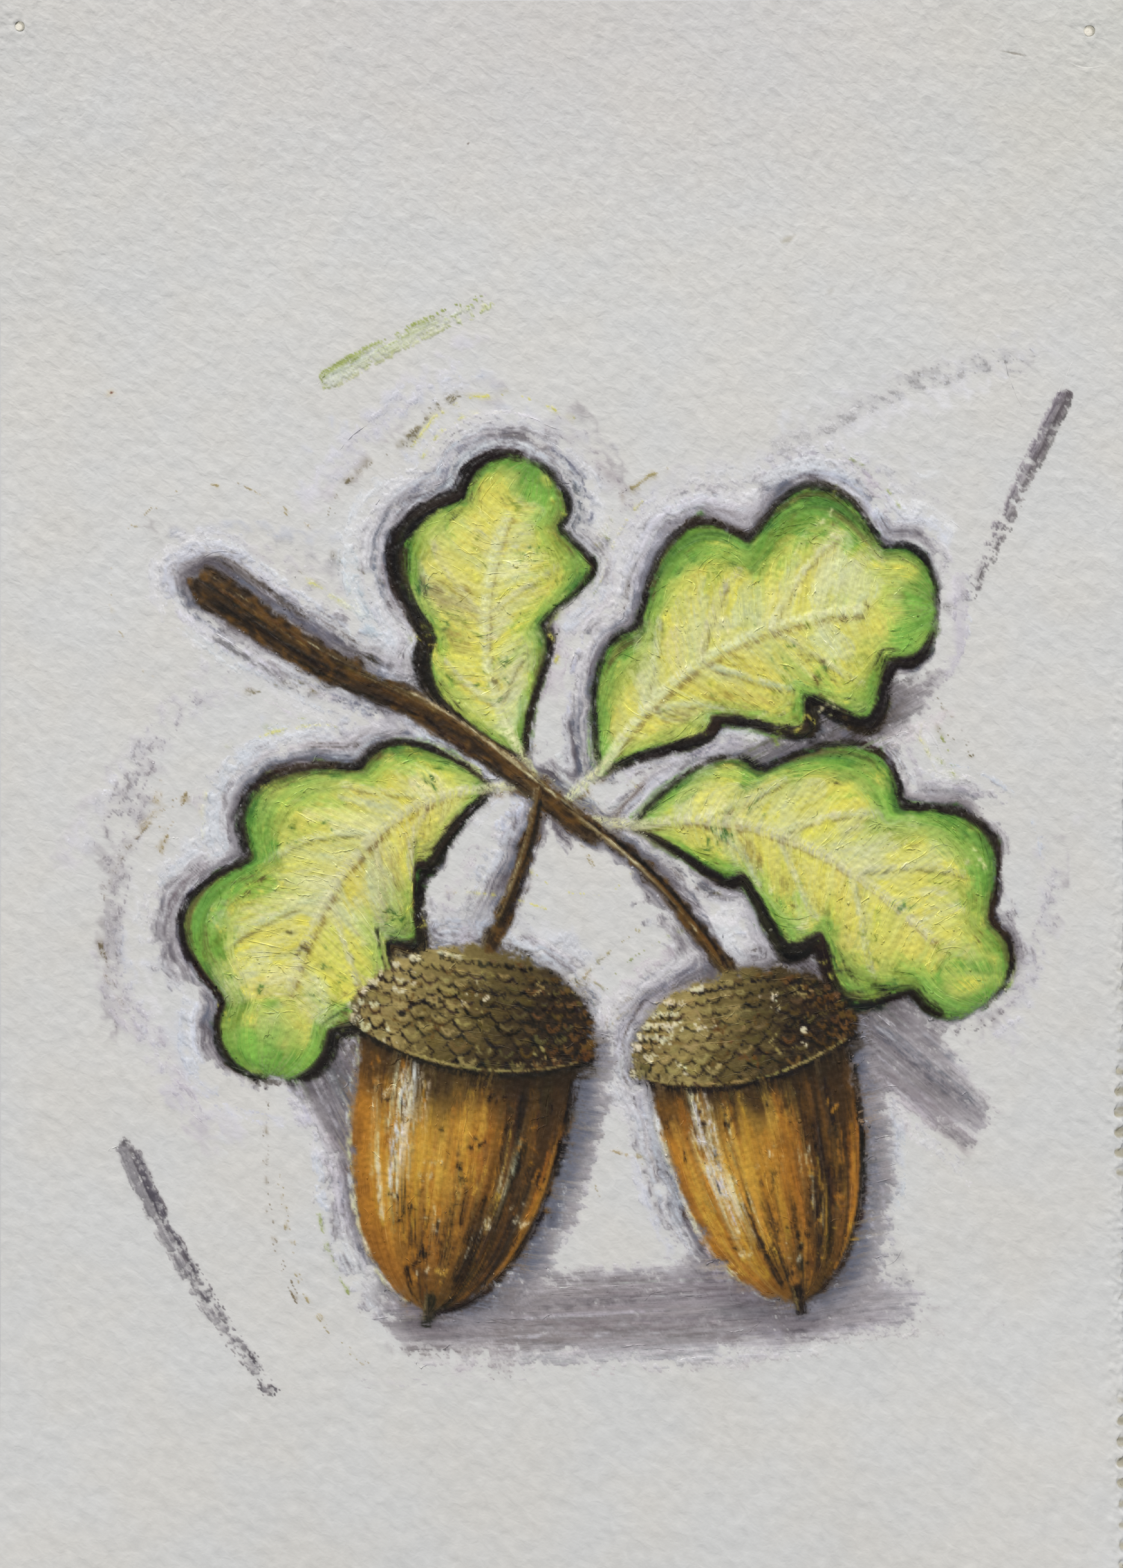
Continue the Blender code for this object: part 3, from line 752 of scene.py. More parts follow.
def paint_film(gap, rubbed):
    """A thin rough film of white, widest on the rubbed side."""
    film = smooth(1.05, 0.05, (gap + COCKLE) / between(FILM_REACHES, rubbed)) * (0.4 + 0.6 * rubbed)
    catch = 0.5 * TOOTH + 0.3 * BROAD_STREAKS + 2.8 * film - 1.5
    colour = mixed("white", "blue_white", smooth(-0.8, 1.2, PATCHES))
    lay(EVERYWHERE, colour, 0.7 * smooth(0.0, 1.1, catch), 0.006)


def paint_sweeps(rng):
    """Wide dry strokes that fade out away from the sprig."""
    for line in SWEEPS:
        for _ in range(SWEEP_STROKES):
            start, bend, end = (np.array(p) + rng.normal(0, SWEEP_SCATTER, 2) for p in line)
            path = bent(start, bend, end, np.linspace(0, 1, 14))[0]
            pigment = one_of(rng, SWEEP_PIGMENTS)
            load = rng.uniform(0.26, 0.44)
            stroke(rng, path, rng.uniform(0.9, 2.4), pigment, load, 0.7, 0.006, 0.01, tint=3.0, fade=0.25)


def paint_band(gap, rubbed):
    """A streaky band beside the outline: grey at first, then white."""
    near = gap / between(BAND_WIDTHS, rubbed)
    dark = 0.85 - 0.8 * near + 0.55 * OUTLINE_STREAKS + 0.22 * BROAD_STREAKS + 0.1 * SPOTS
    grey = mixed("slate", "dusk", smooth(-0.5, 0.5, PATCHES))
    colour = layered("white", ("lilac", smooth(-0.1, 0.5, dark)), (grey, smooth(0.35, 1.0, dark)))
    solid = 1.35 - 1.3 * near + 0.22 * TOOTH + 0.3 * OUTLINE_STREAKS
    lay(EVERYWHERE, colour, 0.92 * smooth(0.1, 0.7, solid), 0.05 * np.maximum(0.2, 1 + 0.6 * OUTLINE_STREAKS))


def paint_halo_lines(rng):
    """Loose lines along each motif's outline, most of them on the rubbed side."""
    for name, outline in shapes.items():
        if not name.endswith(SOLID_PARTS) or name.endswith("_stalk"):
            continue
        around = step_lengths(closed(outline)).sum()
        for spacing, pigments, distances, lengths, half_widths, load in HALO_LINES:
            for _ in range(round(around / spacing)):
                line = offset_run(rng, outline, rng.uniform(*distances), rng.uniform(*lengths))
                facing = unit(line.mean(axis=0) - outline.mean(axis=0)) @ np.array(RUBBED_SIDE)
                if rng.random() > 0.2 + 0.9 * smooth(-0.6, 0.5, facing):
                    continue
                pigment = one_of(rng, pigments)
                half_width = rng.uniform(*half_widths)
                load_here = load + rng.normal(0, 0.06)
                fade = rng.uniform(-0.1, 0.3)
                stroke(rng, line, half_width, pigment, load_here, 0.8, 0.015, 0.025, tint=4.0, fade=fade)


def paint_halo(rng):
    """White and grey pastel rubbed round the sprig."""
    outward = unit(stacked(-uphill[1], -uphill[0]))
    rubbed = smooth(-0.6, 0.6, outward @ np.array(RUBBED_SIDE) + 0.3 * PATCHES)
    paint_film(-sprig_depth, rubbed)
    paint_sweeps(rng)
    paint_band(-sprig_depth, rubbed)
    paint_halo_lines(rng)


# Rows of strokes: count, pigments, first, last, run, half widths, load, opacity and fade.
# Places on a shadow are shares of its reach.
SHADOW_STROKES = (
    (18, "lilac smoke lilac", (-0.75, -0.7), (0.75, 0.75), (0.8, 0.0), (0.9, 2.2), 0.6, 0.4, 0.2),
    (16, "white light_lilac", (-0.8, -1.0), (0.9, -0.55), (0.6, 0.0), (0.5, 1.3), 0.45, 0.5, 0.3),
    (12, "dusk smoke slate", (-0.5, -0.3), (0.5, 0.7), (0.6, 0.0), (0.4, 1.1), 0.4, 0.45, 0.3),
    (10, "light_lilac white", (-0.8, -0.8), (0.8, 0.9), (0.7, 0.0), (0.15, 0.4), 0.42, 0.6, 0.2),
)


def paint_shadow(name, rng, at, darkest):
    """A cast shadow: long rubbed strokes, darkest beside what casts it, with ragged pale ends."""
    area, depth = depths[name]
    near = smooth(-7.0, -0.3, sprig_depth[area])
    tone = 0.5 * smooth(0.0, 5.0, depth) + 0.75 * near + 0.07 * STREAK_BANDS[area] + 0.05 * PATCHES[area]
    layers = ("lilac", smooth(0.05, 0.5, tone)), (darkest, 0.9 * smooth(0.45, 1.2, tone))
    solid = smooth(-0.5, 4.0, depth + 1.5 * near)
    catch = TOOTH[area] + 0.35 * STREAK_BANDS[area] + 4.2 * solid - 1.6
    amount = 0.92 * smooth(-1.4, 1.2, depth) * smooth(-0.9, 0.8, catch)
    lay(area, layered("light_lilac", *layers), amount, 0.03)
    rows_of_strokes(rng, at, SHADOW_STROKES)


def paint_cast_shadows(rng):
    for name, (centre, half_length, half_width, turn_degrees) in SHADOWS.items():
        along, across = axes(math.radians(turn_degrees))

        def at(u, v, centre=centre, along=along * half_length, across=across * half_width):
            return centre + along * column(u) + across * column(v)

        paint_shadow(name, rng, at, "dusk")
    for name, acorn in acorns.items():

        def at(u, v, acorn=acorn):
            return acorn.spot((u * 0.6 + 0.75) * NUT_LENGTH, v * NUT_HALF_WIDTH) + np.array(ACORN_SHADOW_FALL)

        paint_shadow(name + "_shadow", rng, at, "slate")


# How often a loose stroke is gone over and how far it runs on, in millimetres
LOOSE_PASSES = 9
LOOSE_TAIL = 2.5


def paint_loose_strokes(rng):
    """Single strokes, pressed hard where they start and broken by the grain where they end."""
    for name, line in loose_lines.items():
        half = LOOSE_STROKES[name][3]
        pigments = ("pale", "moss", "white") if name.startswith("pale") else ("smoke", "lilac", "dusk")
        ahead = unit(line[-1] - line[0])
        line = np.vstack([line, line[-1:] + ahead * LOOSE_TAIL])
        for number in range(LOOSE_PASSES):
            shift = left_of(ahead) * rng.uniform(-0.55, 0.55) * half + ahead * rng.normal(0, 0.8)
            load = rng.uniform(0.6, 0.85)
            width = half * rng.uniform(0.25, 0.6)
            stroke(rng, line + shift, width, pigments[number % 3], load, 0.75, 0.02, 0.04, fade=0.75)


# Strokes on both sides of a leaf, on its lit side and on its shaded side, by share of its length and width
LEAF_STROKES = (
    (34, "leaf bright_green leaf lime", (0.08, 0.66), (0.92, 0.9), (0.13, 0), (0.6, 1.6), 0.72, 0.6, 0.2),
    (30, "forest leaf forest olive", (0.08, 0.82), (0.95, 0.97), (0.12, 0), (0.3, 0.8), 0.6, 0.7, 0.2),
    (36, "yellow lemon yellow pale", (0.14, 0.1), (0.86, 0.56), (0.03, 0.34), (0.9, 2.4), 0.75, 0.6, 0.2),
    (30, "lime moss lime bright_green", (0.12, 0.5), (0.9, 0.8), (0.05, 0.2), (0.4, 1.3), 0.62, 0.55, 0.3),
    (10, "forest olive", (0.15, 0.55), (0.9, 0.85), (0.05, 0.2), (0.15, 0.4), 0.4, 0.6, 0.3),
    (9, "butter lemon", (0.15, 0.3), (0.85, 0.6), (0.03, 0.2), (0.12, 0.3), 0.5, 0.8, 0.2),
)
LIT_STROKES = (
    (20, "pale butter pale", (0.16, 0.08), (0.8, 0.42), (0.04, 0.26), (0.5, 1.2), 0.6, 0.6, 0.2),
    (44, "black dark_brown black", (0.05, 0.97), (0.97, 1.02), (0.14, 0), (0.25, 0.65), 0.62, 0.85, 0.3),
)
SHADED_STROKES = (
    (10, "khaki brown khaki olive", (0.1, 0.1), (0.6, 0.5), (0.05, 0.2), (0.4, 1.2), 0.42, 0.4, 0.2),
    (70, "black dark_brown black black", (0.06, 0.86), (0.95, 1.0), (0.12, 0), (0.3, 0.9), 0.75, 0.9, 0.1),
    (14, "black dark_brown", (0.1, 0.66), (0.9, 0.85), (0.08, 0.08), (0.15, 0.45), 0.45, 0.7, 0.3),
)


def leaf_colour(area, leaf):
    """Green towards the border, light yellow in the middle, and a ragged dark edge on the shaded side."""
    share, across = leaf.coordinates(*drawn_at(area))
    scale = np.abs(across)
    shaded = np.sign(across) == leaf.shaded_side
    patches, spots = PATCHES[area], SPOTS[area]
    green = layered(
        "leaf",
        ("bright_green", smooth(0.2, 1.4, patches)),
        ("forest", smooth(0.78, 1.05, scale + 0.1 * patches + 0.05 * spots)),
        ("moss", 0.7 * smooth(0.5, 1.8, spots - patches)),
    )
    pale = smooth(0.5, 0.1, scale + 0.1 * patches) * (0.8 - 0.5 * shaded)
    light = layered("yellow", ("pale", pale), ("lemon", smooth(0.5, 1.5, -patches)))
    middle = smooth(0.9, 0.4, scale + 0.12 * patches + 0.05 * spots)
    middle = middle * smooth(0.03, 0.16, share) * smooth(0.97, 0.8, share + 0.05 * patches)
    ragged = 0.05 * spots + 0.06 * patches + 0.04 * TOOTH[area]
    dark = smooth(DARK_EDGE_INNER - 0.07, DARK_EDGE_INNER - 0.02, scale + ragged) * shaded
    dark = dark * smooth(0.02, 0.1, share) * smooth(1.0, 0.93, share)
    edge = mixed("dark_brown", "black", smooth(-1.2, 0.0, spots))
    return layered(green, ("lime", 3 * middle * (1 - middle)), (light, middle), (edge, dark))


def paint_veins(leaf, rng):
    """A pale midrib and side veins, each with a shadow below it and a light line along its top."""
    for lobe in range(leaf.lobes):
        root = between(VEIN_ROOTS, lobe / leaf.lobes)
        for side in (-1, 1):
            ends = np.linspace(0, 1, 7)
            line = leaf.at(root + (VEIN_LEAD + 0.04) * ends, side * (0.02 + 0.62 * ends))
            stroke(rng, line + (0.3, -0.5), 0.45, "olive", 0.5, 0.6, 0.0)
            stroke(rng, line, 0.55, "pale", 0.8, 0.8, 0.04, 0.05, fade=0.25)
            stroke(rng, line[:5] + (-0.1, 0.2), 0.22, "butter", 0.6, 0.85, 0.03)
    midrib = np.vstack([leaf.foot, bent(*leaf.ends, np.linspace(0.02, MIDRIB_END, 14))[0]])
    stroke(rng, midrib + (0.5, -0.7), 0.6, "brown", 0.55, 0.65, 0.0)
    stroke(rng, midrib, 0.8, "pale", 0.9, 0.85, 0.05, 0.06, fade=0.2)
    stroke(rng, midrib + (-0.15, 0.25), 0.28, "butter", 0.6, 0.85, 0.03)


def paint_leaf(name, leaf, rng):
    area, depth = depths[name + "_rim"]
    fill(area, depth, leaf_colour(area, leaf), 0.09)
    for side in (-1, 1):
        rows_of_strokes(rng, leaf.at, LEAF_STROKES, side)
    rows_of_strokes(rng, leaf.at, LIT_STROKES, -leaf.shaded_side)
    rows_of_strokes(rng, leaf.at, SHADED_STROKES, leaf.shaded_side)
    paint_veins(leaf, rng)
    paint_flecks(rng, leaf.at, (0.12, -0.95), (0.9, 0.95), "lemon moss forest butter olive", 30)


# How many streaks and how many light lines a stem has for each millimetre of its half width
BARK_STREAKS = 26
BARK_LIGHTS = 5


def paint_bark(rng, name, line, half_widths, lit):
    """A woody stem: dark, lit along one edge, with broken black streaks along the other."""
    area, depth = depths[name]
    colour = mixed("dark_brown", "brown", smooth(-0.4, 1.2, SPOTS[area]))
    lay(area, colour, smooth(-0.2, 0.3, depth + 0.1 * TOOTH[area]), 0.09)
    middle = (half_widths[0] + half_widths[1]) / 2
    lit = np.array(lit)
    for _ in range(round(BARK_STREAKS * middle)):
        first = rng.integers(0, len(line) - 5)
        part = line[first : first + rng.integers(4, 9)]
        level = rng.uniform(-0.85, 0.85)
        pigment = "brown" if level > 0 else "black"
        if level > 0.35:
            pigment = one_of(rng, "khaki brown olive")
        shift = lit * level * middle
        stroke(rng, part + shift, rng.uniform(0.15, 0.4), pigment, 0.55, 0.8, 0.03, 0.05, fade=0.3)
    for _ in range(round(BARK_LIGHTS * middle)):
        first = rng.integers(0, len(line) - 4)
        part = line[first : first + 4] + lit * rng.uniform(0.3, 0.8) * middle
        stroke(rng, part, rng.uniform(0.12, 0.22), "cream", 0.5, 0.8, 0.03, 0.05)


def paint_flecks(rng, at, low, high, pigments, clusters, spread=0.9):
    """Small grains of other colours stuck in a field, in loose clusters."""
    low, high = np.array(low, float), np.array(high, float)
    for _ in range(clusters):
        spot = between((low, high), rng.random(2))
        centre = at(np.array([spot[0]]), np.array([spot[1]]))[0]
        pigment = one_of(rng, pigments)
        for _ in range(rng.integers(2, 9)):
            place = centre + rng.normal(0, spread, 2)
            line = place + np.outer((-0.5, 0.0, 0.5), rng.normal(0, 0.45, 2))
            stroke(rng, line, rng.uniform(0.14, 0.32), pigment, 0.75, 0.9, 0.05, 0.05)


# Strokes on a nut, by share of its length and of its half width there
NUT_STROKES = (
    (80, "ochre gold ochre sienna", (0.16, -0.85), (0.8, 0.35), (0.2, 0.02), (0.3, 0.9), 0.6, 0.55, 0.25),
    (34, "khaki brown olive", (0.14, -0.8), (0.7, 0.3), (0.16, 0.02), (0.15, 0.45), 0.42, 0.6, 0.3),
    (50, "sienna brown ochre", (0.3, 0.1), (0.9, 0.85), (0.2, 0.02), (0.25, 0.7), 0.6, 0.6, 0.25),
    (44, "dark_brown black brown", (0.16, 0.42), (0.92, 0.76), (0.2, 0.02), (0.25, 0.9), 0.6, 0.75, 0.3),
    (56, "dark_brown brown black", (0.6, -0.5), (0.92, 0.6), (0.17, 0.02), (0.2, 0.7), 0.5, 0.78, 0.35),
    (26, "dark_brown olive", (0.08, -0.9), (0.2, 0.6), (0.1, 0.0), (0.2, 0.6), 0.5, 0.7, 0.3),
    (16, "ochre sienna", (0.3, 0.86), (0.85, 0.97), (0.2, 0.0), (0.25, 0.45), 0.7, 0.7, 0.0),
    (36, "cream gold khaki", (0.2, -0.8), (0.66, -0.26), (0.15, 0.02), (0.15, 0.5), 0.46, 0.75, 0.0),
    (10, "gold cream", (0.35, 0.3), (0.75, 0.62), (0.14, 0.0), (0.15, 0.35), 0.42, 0.75, 0.0),
    (34, "white cream pale", (0.06, -0.99), (0.97, -1.04), (0.05, 0.0), (0.16, 0.4), 0.5, 0.85, 0.0),
    (38, "dark_brown black", (0.04, 0.96), (0.98, 1.02), (0.12, 0.0), (0.2, 0.6), 0.7, 0.9, 0.2),
)


def nut_colour(area, acorn):
    """Ochre lit from the upper left, browner towards the tip, and dark at the far side and under the cap."""
    share, across = acorn.on_nut(*drawn_at(area))
    patches = PATCHES[area]
    lit = smooth(0.9, 0.1, np.hypot((across + 0.32) * 0.95, (share - 0.34) * 1.25))
    turned = smooth(0.25, 0.95, across + 0.25 * share + 0.05 * SPOTS[area])
    under = smooth(0.3, 0.05, share - 0.1 * (1 - across**2) + 0.03 * patches)
    return layered(
        "sienna",
        ("ochre", smooth(0.0, 0.5, lit + 0.15 * patches)),
        ("gold", 0.7 * smooth(0.55, 1.0, lit + 0.1 * patches)),
        ("brown", 0.85 * smooth(0.45, 1.0, share + 0.35 * across + 0.08 * patches)),
        ("dark_brown", 0.8 * turned * smooth(1.02, 0.88, across)),
        ("dark_brown", 0.85 * under),
    )


def paint_nut(name, acorn, rng):
    area, depth = depths[name + "_nut"]
    fill(area, depth, nut_colour(area, acorn), 0.1)
    at = acorn.flank
    rows_of_strokes(rng, at, NUT_STROKES)
    highlight = (0.17, -0.64), (0.56, -0.46), (0.16, 0.0), (0.2, 0.6)
    hatch(rng, at, 30, "white white cream", *highlight, 0.5, 0.92, thickness=0.04, ridge=0.06, fade=0.2)
    hatch(rng, at, 7, "black brown", (0.2, -0.62), (0.5, -0.48), (0.06, 0.0), (0.15, 0.3), 0.5, 0.8)
    paint_flecks(rng, at, (0.15, -0.9), (0.9, 0.9), "cream gold black dark_brown ochre", 34)
    tip = at(np.linspace(0.95, TIP_END, 5), np.zeros(5))
    stroke(rng, tip, 0.9, "black", 1.0, 0.9, 0.05, 0.05)
    stroke(rng, tip + (-0.5, 0.3), 0.3, "khaki", 0.7, 0.8, 0.03)


# Strokes on a cap, in millimetres down and across it
CAP_STROKES = (
    (40, "khaki olive brown khaki", (3, -12), (12, 1), (0.6, 4), (0.2, 0.6), 0.5, 0.65, 0.3),
    (40, "dark_brown olive black", (2, 0), (12, 12.5), (0.8, 4), (0.2, 0.6), 0.5, 0.7, 0.3),
)

# The cap's scales, how far each row swells, and the pigment of each scale by how well it is lit
SCALE_ROWS = 9
SCALES_A_ROW = 15
SCALE_FULLNESS = 2.3
SCALE_PIGMENTS = {"cream": 1.05, "khaki": 0.3, "olive": -0.4, "brown": -math.inf}

# The line along the cap's brim, and how much longer than wide the dabs on the cap are rubbed
BRIM_REACH = 0.97
BRIM_DROP = 0.25
BRIM_LIGHTS = 9
CAP_DABS = 4.0


def paint_cap(name, acorn, rng):
    area, depth = depths[name + "_cap"]
    u, v = acorn.coordinates(*drawn_at(area))
    side = v / CAP_HALF_WIDTH
    colour = layered(
        "olive",
        ("khaki", smooth(0.35, -0.75, side + 0.04 * (u - 4) + 0.14 * PATCHES[area])),
        ("dark_brown", smooth(0.15, 0.9, side + 0.03 * u + 0.05 * SPOTS[area])),
        ("black", 0.7 * smooth(0.8, 1.05, np.abs(side))),
    )
    fill(area, depth, colour, 0.12, 0.0)
    rows_of_strokes(rng, acorn.spot, CAP_STROKES)
    paint_scales(acorn, rng)
    paint_flecks(rng, acorn.spot, (3, -11), (12, 11), "cream black khaki brown", 16)
    brim = acorn.brim(np.linspace(-BRIM_REACH, BRIM_REACH, 20), BRIM_DROP)
    stroke(rng, brim, 0.5, "black", 0.95, 0.9, 0.03)
    stroke(rng, brim[10:] + (0.2, -0.9), 0.9, "dark_brown", 0.7, 0.7, 0.02)
    for _ in range(BRIM_LIGHTS):
        first = rng.integers(0, 15)
        stroke(rng, brim[first : first + 5] + (0, 0.75), 0.25, "khaki", 0.5, 0.8, 0.05, 0.06)


def paint_scales(acorn, rng):
    """The cap's scales, in rows set half a scale apart: a dark hook round a lighter dab."""
    for row in range(SCALE_ROWS):
        level = (row + 0.55) / (SCALE_ROWS + 0.1)
        base = 0.7 + (CAP_HEIGHT - 1.2) * level
        half_row = CAP_HALF_WIDTH * (1 - (1 - level) ** SCALE_FULLNESS) ** 0.5
        for number in range(SCALES_A_ROW + row % 2):
            turn = ((number + 0.5 * (1 - row % 2)) / SCALES_A_ROW - 0.5) * np.pi * 0.97
            side = math.sin(turn)
            width = max(0.28, math.cos(turn)) * half_row * np.pi / SCALES_A_ROW
            height = 0.5 + 0.75 * level
            u = base + CAP_SAG * level * (1 - side**2) + rng.normal(0, 0.1)
            v = half_row * side + rng.normal(0, 0.12)
            lit = 0.5 - side - 0.5 * level + rng.normal(0, 0.22)
            arc = np.linspace(-1, 1, 7)
            hook = acorn.spot(u + height * (1 - arc**2), v + width * 0.52 * arc)
            hook_pigment = "black" if lit < 0.3 or rng.random() < 0.3 else "dark_brown"
            stroke(rng, hook + (0.1, -0.15), rng.uniform(0.16, 0.3), hook_pigment, 0.7, 0.9, 0.02)
            dab = acorn.spot(u + (height - 0.45) * (1 - arc**2) - 0.1, v + width * 0.26 * arc - 0.12)
            pigment = next(name for name, least in SCALE_PIGMENTS.items() if lit > least)
            stroke(rng, dab, rng.uniform(0.25, 0.45), pigment, 0.65, 0.85, 0.06, 0.08)


paint_rng = np.random.default_rng([SEED, 1])
paint_halo(paint_rng)
paint_cast_shadows(paint_rng)
paint_loose_strokes(paint_rng)
for leaf_name in reversed(leaves):
    paint_leaf(leaf_name, leaves[leaf_name], paint_rng)
paint_bark(paint_rng, "twig", twig_line, TWIG_HALF_WIDTHS, (0.35, 1.0))
for acorn_name in reversed(acorns):
    stalk = acorn_name + "_stalk"
    paint_bark(paint_rng, stalk, stalk_lines[stalk], STALK_HALF_WIDTHS, (-1.0, 0.2))
    paint_nut(acorn_name, acorns[acorn_name], paint_rng)
    paint_cap(acorn_name, acorns[acorn_name], paint_rng)


def at_corners(field):
    """The field at the four corners of each cell."""
    return field[:-1, :-1], field[1:, 1:], field[1:, :-1], field[:-1, 1:]


def on_vertices(cells):
    """A mark on cells, carried over to the vertex at each cell's lower left."""
    return np.pad(cells, ((0, 1), (0, 1)), mode="edge")


# Each cell of the canvas belongs to the frontmost colour field over it
owner = np.full((ROWS, COLUMNS), -1)
for number, (area, depth) in enumerate(depths.values()):
    part = owner[area[0].start : area[0].stop - 1, area[1].start : area[1].stop - 1]
    part[(part < 0) & (sum(at_corners(depth)) > 0)] = number


def flow_of(name, area):
    """How far along and across its strokes each point of that colour field lies, in millimetres."""
    x, y = X[area], Y[area]
    if name in SHADOWS:
        centre, _, _, turn_degrees = SHADOWS[name]
        dx, dy = x - centre[0], y - centre[1]
        (cosine, sine), _ = axes(math.radians(turn_degrees))
        return dx * cosine + dy * sine, dy * cosine - dx * sine
    lines = {"twig": twig_line, **stalk_lines, **loose_lines}
    if name in lines:
        return along_line(lines[name], x, y)
    owner_name = "_".join(name.split("_")[:2])
    if owner_name in leaves:
        leaf = leaves[owner_name]
        share, across = leaf.coordinates(x, y)
        along_edge = name.endswith(("_rim", "_dark_edge"))
        pair = share * leaf.length, across * leaf.half_width
        return pair if along_edge else pair[::-1]
    u, v = acorns[owner_name].coordinates(x, y)
    if name.endswith("_cap"):
        return v * CAP_DABS, u
    if name.endswith("_shadow"):
        return v, u
    return u, acorns[owner_name].on_nut(x, y)[1] * NUT_HALF_WIDTH


# The way the strokes run: places along and across them, and from those the direction of rubbing
canvas_flow = stacked(X, sprig_depth)
flows = {}
for number, (shape_name, (area, _)) in enumerate(depths.items()):
    along, across = flow_of(shape_name, area)
    flows[shape_name] = stacked(along, across)
    rise_y, rise_x = np.gradient(across)
    way = unit(stacked(-rise_y, rise_x))
    mine = on_vertices(owner == number)[area]
    rub[area][mine] = way[mine]


# Rubbing: each colour is drawn a little way along its strokes, and fine streaks run the same way.
# A second layer holds the colours drawn further, which the material lets through in fine streaks.
# The scales on the acorns' caps are dabs, so they stay as they are.
SMEAR_STEPS = 2
SMEAR_SHARE = 0.5
PULL_STEPS = 11
PULL_STRIDE = 1.6
STREAK_TINT = 0.06
caps = [number for number, name in enumerate(depths) if name.endswith("_cap")]
dabbed = on_vertices(np.isin(owner, caps))
pulled = np.where(column(dabbed), ink, drawn_out(ink, PULL_STEPS, PULL_STRIDE))
ink += (drawn_out(ink, SMEAR_STEPS) - ink) * column(SMEAR_SHARE * smooth(0.3, 0.9, cover) * ~dabbed)
scratches = 0.7 * streaks(16, 0.25, 9) + 0.7 * streaks(17, 0.7, 12)
ink *= column(1 + STREAK_TINT * scratches * cover * (0.5 + 0.5 * smooth(-1, 1, SPOTS)))

# The pastel's top, in millimetres over the paper, and a little under it where only a film lies
CRUST_LIMIT = 0.3
CRUST_SOFTNESS = 0.28
CRUST_LEAST = 0.012
CRUST_DIP = 0.015
CRUST_ROOT = 0.12
STREAK_RELIEF = 0.012
LUMP_RELIEF = 0.012
FILM_BODY = (0.015, 0.028)
covering = smooth(0.3, 0.6, cover) * smooth(*FILM_BODY, body)
crust = STREAK_RELIEF * scratches + LUMP_RELIEF * LUMPS - 0.75 * GRAIN_RELIEF * GRAIN
crust = crust * smooth(0.03, 0.15, body) + CRUST_LEAST + CRUST_LIMIT * (1 - np.exp(-body / CRUST_SOFTNESS))
crust = covering * np.maximum(crust + 0.004 * FINE_GRAIN, 0.008) - (1 - covering) * CRUST_DIP


def lifted(x, y):
    """How far the sheet's underside stands off the surface: flat, but for four corners that curl up."""
    lift = np.zeros(np.shape(x))
    for (side, end), rise in CORNER_LIFTS.items():
        share = np.maximum(0.0, 1 - np.hypot(x - side * WIDTH / 2, y - end * HEIGHT / 2) / CORNER_REACH)
        lift += rise * share**2
    return lift


under = lifted(X, Y)
fine_paper = under + THICKNESS + GRAIN_RELIEF * (GRAIN + 0.15 * FINE_GRAIN) + COCKLE_RELIEF * COCKLE
coarse_grain = soften(GRAIN, 2)
coarse_grain /= coarse_grain.std()
coarse_paper = under + THICKNESS + GRAIN_RELIEF * coarse_grain + COCKLE_RELIEF * COCKLE


def facetted(height):
    """The height of the coarse mesh at each fine vertex. Its triangles' diagonals run down to the right."""
    row, place = np.indices(X.shape)
    low_row = np.minimum(row // COARSE * COARSE, ROWS - COARSE)
    low_place = np.minimum(place // COARSE * COARSE, COLUMNS - COARSE)
    up, over = (row - low_row) / COARSE, (place - low_place) / COARSE
    near, far = height[low_row, low_place], height[low_row + COARSE, low_place + COARSE]
    right, above = height[low_row, low_place + COARSE], height[low_row + COARSE, low_place]
    lower = near + over * (right - near) + up * (above - near)
    upper = far + (1 - over) * (above - far) + (1 - up) * (right - far)
    return np.where(over + up <= 1, lower, upper)


paper_top = facetted(coarse_paper)
pastel_top = paper_top + crust
crust_foot = stacked(X, Y, paper_top - CRUST_ROOT)
slope_y, slope_x = np.gradient(paper_top + np.maximum(crust, -0.2 * CRUST_DIP), CELL)
pastel_normal = unit(stacked(-slope_x, -slope_y, np.ones(X.shape)))


def make_mesh(name, points, faces, attributes, normals=None):
    """An object from points in millimetres and rows of faces, each row with the same number of corners."""
    mesh = bpy.data.meshes.new(name)
    corners = np.concatenate([rows.ravel() for rows in faces])
    sizes = np.concatenate([np.full(len(rows), rows.shape[1]) for rows in faces])
    mesh.vertices.add(len(points))
    mesh.vertices.foreach_set("co", (points * MM).astype(np.float32).ravel())
    mesh.loops.add(len(corners))
    mesh.loops.foreach_set("vertex_index", corners.astype(np.int32))
    mesh.polygons.add(len(sizes))
    mesh.polygons.foreach_set("loop_start", (np.cumsum(sizes) - sizes).astype(np.int32))
    mesh.polygons.foreach_set("use_smooth", np.ones(len(sizes), bool))
    mesh.update(calc_edges=True)
    for label, values in attributes.items():
        kind = "FLOAT_COLOR" if values.shape[1] == 4 else "FLOAT_VECTOR"
        layer = mesh.attributes.new(label, kind, "POINT")
        field = "color" if kind == "FLOAT_COLOR" else "vector"
        layer.data.foreach_set(field, values.astype(np.float32).ravel())
    if normals is not None:
        mesh.normals_split_custom_set_from_vertices(normals.tolist())
    item = bpy.data.objects.new(name, mesh)
    bpy.context.scene.collection.objects.link(item)
    return item


def joined(parts):
    """Separate closed shells as one, with their faces in rows of equal size."""
    points = np.vstack([part["points"] for part in parts])
    faces, first = [], 0
    for part in parts:
        faces += [rows + first for rows in part["faces"]]
        first += len(part["points"])
    rest = {key: np.vstack([part[key] for part in parts]) for key in ("tint", "pulled", "flow", "normals")}
    return {"points": points, "faces": faces, **rest}


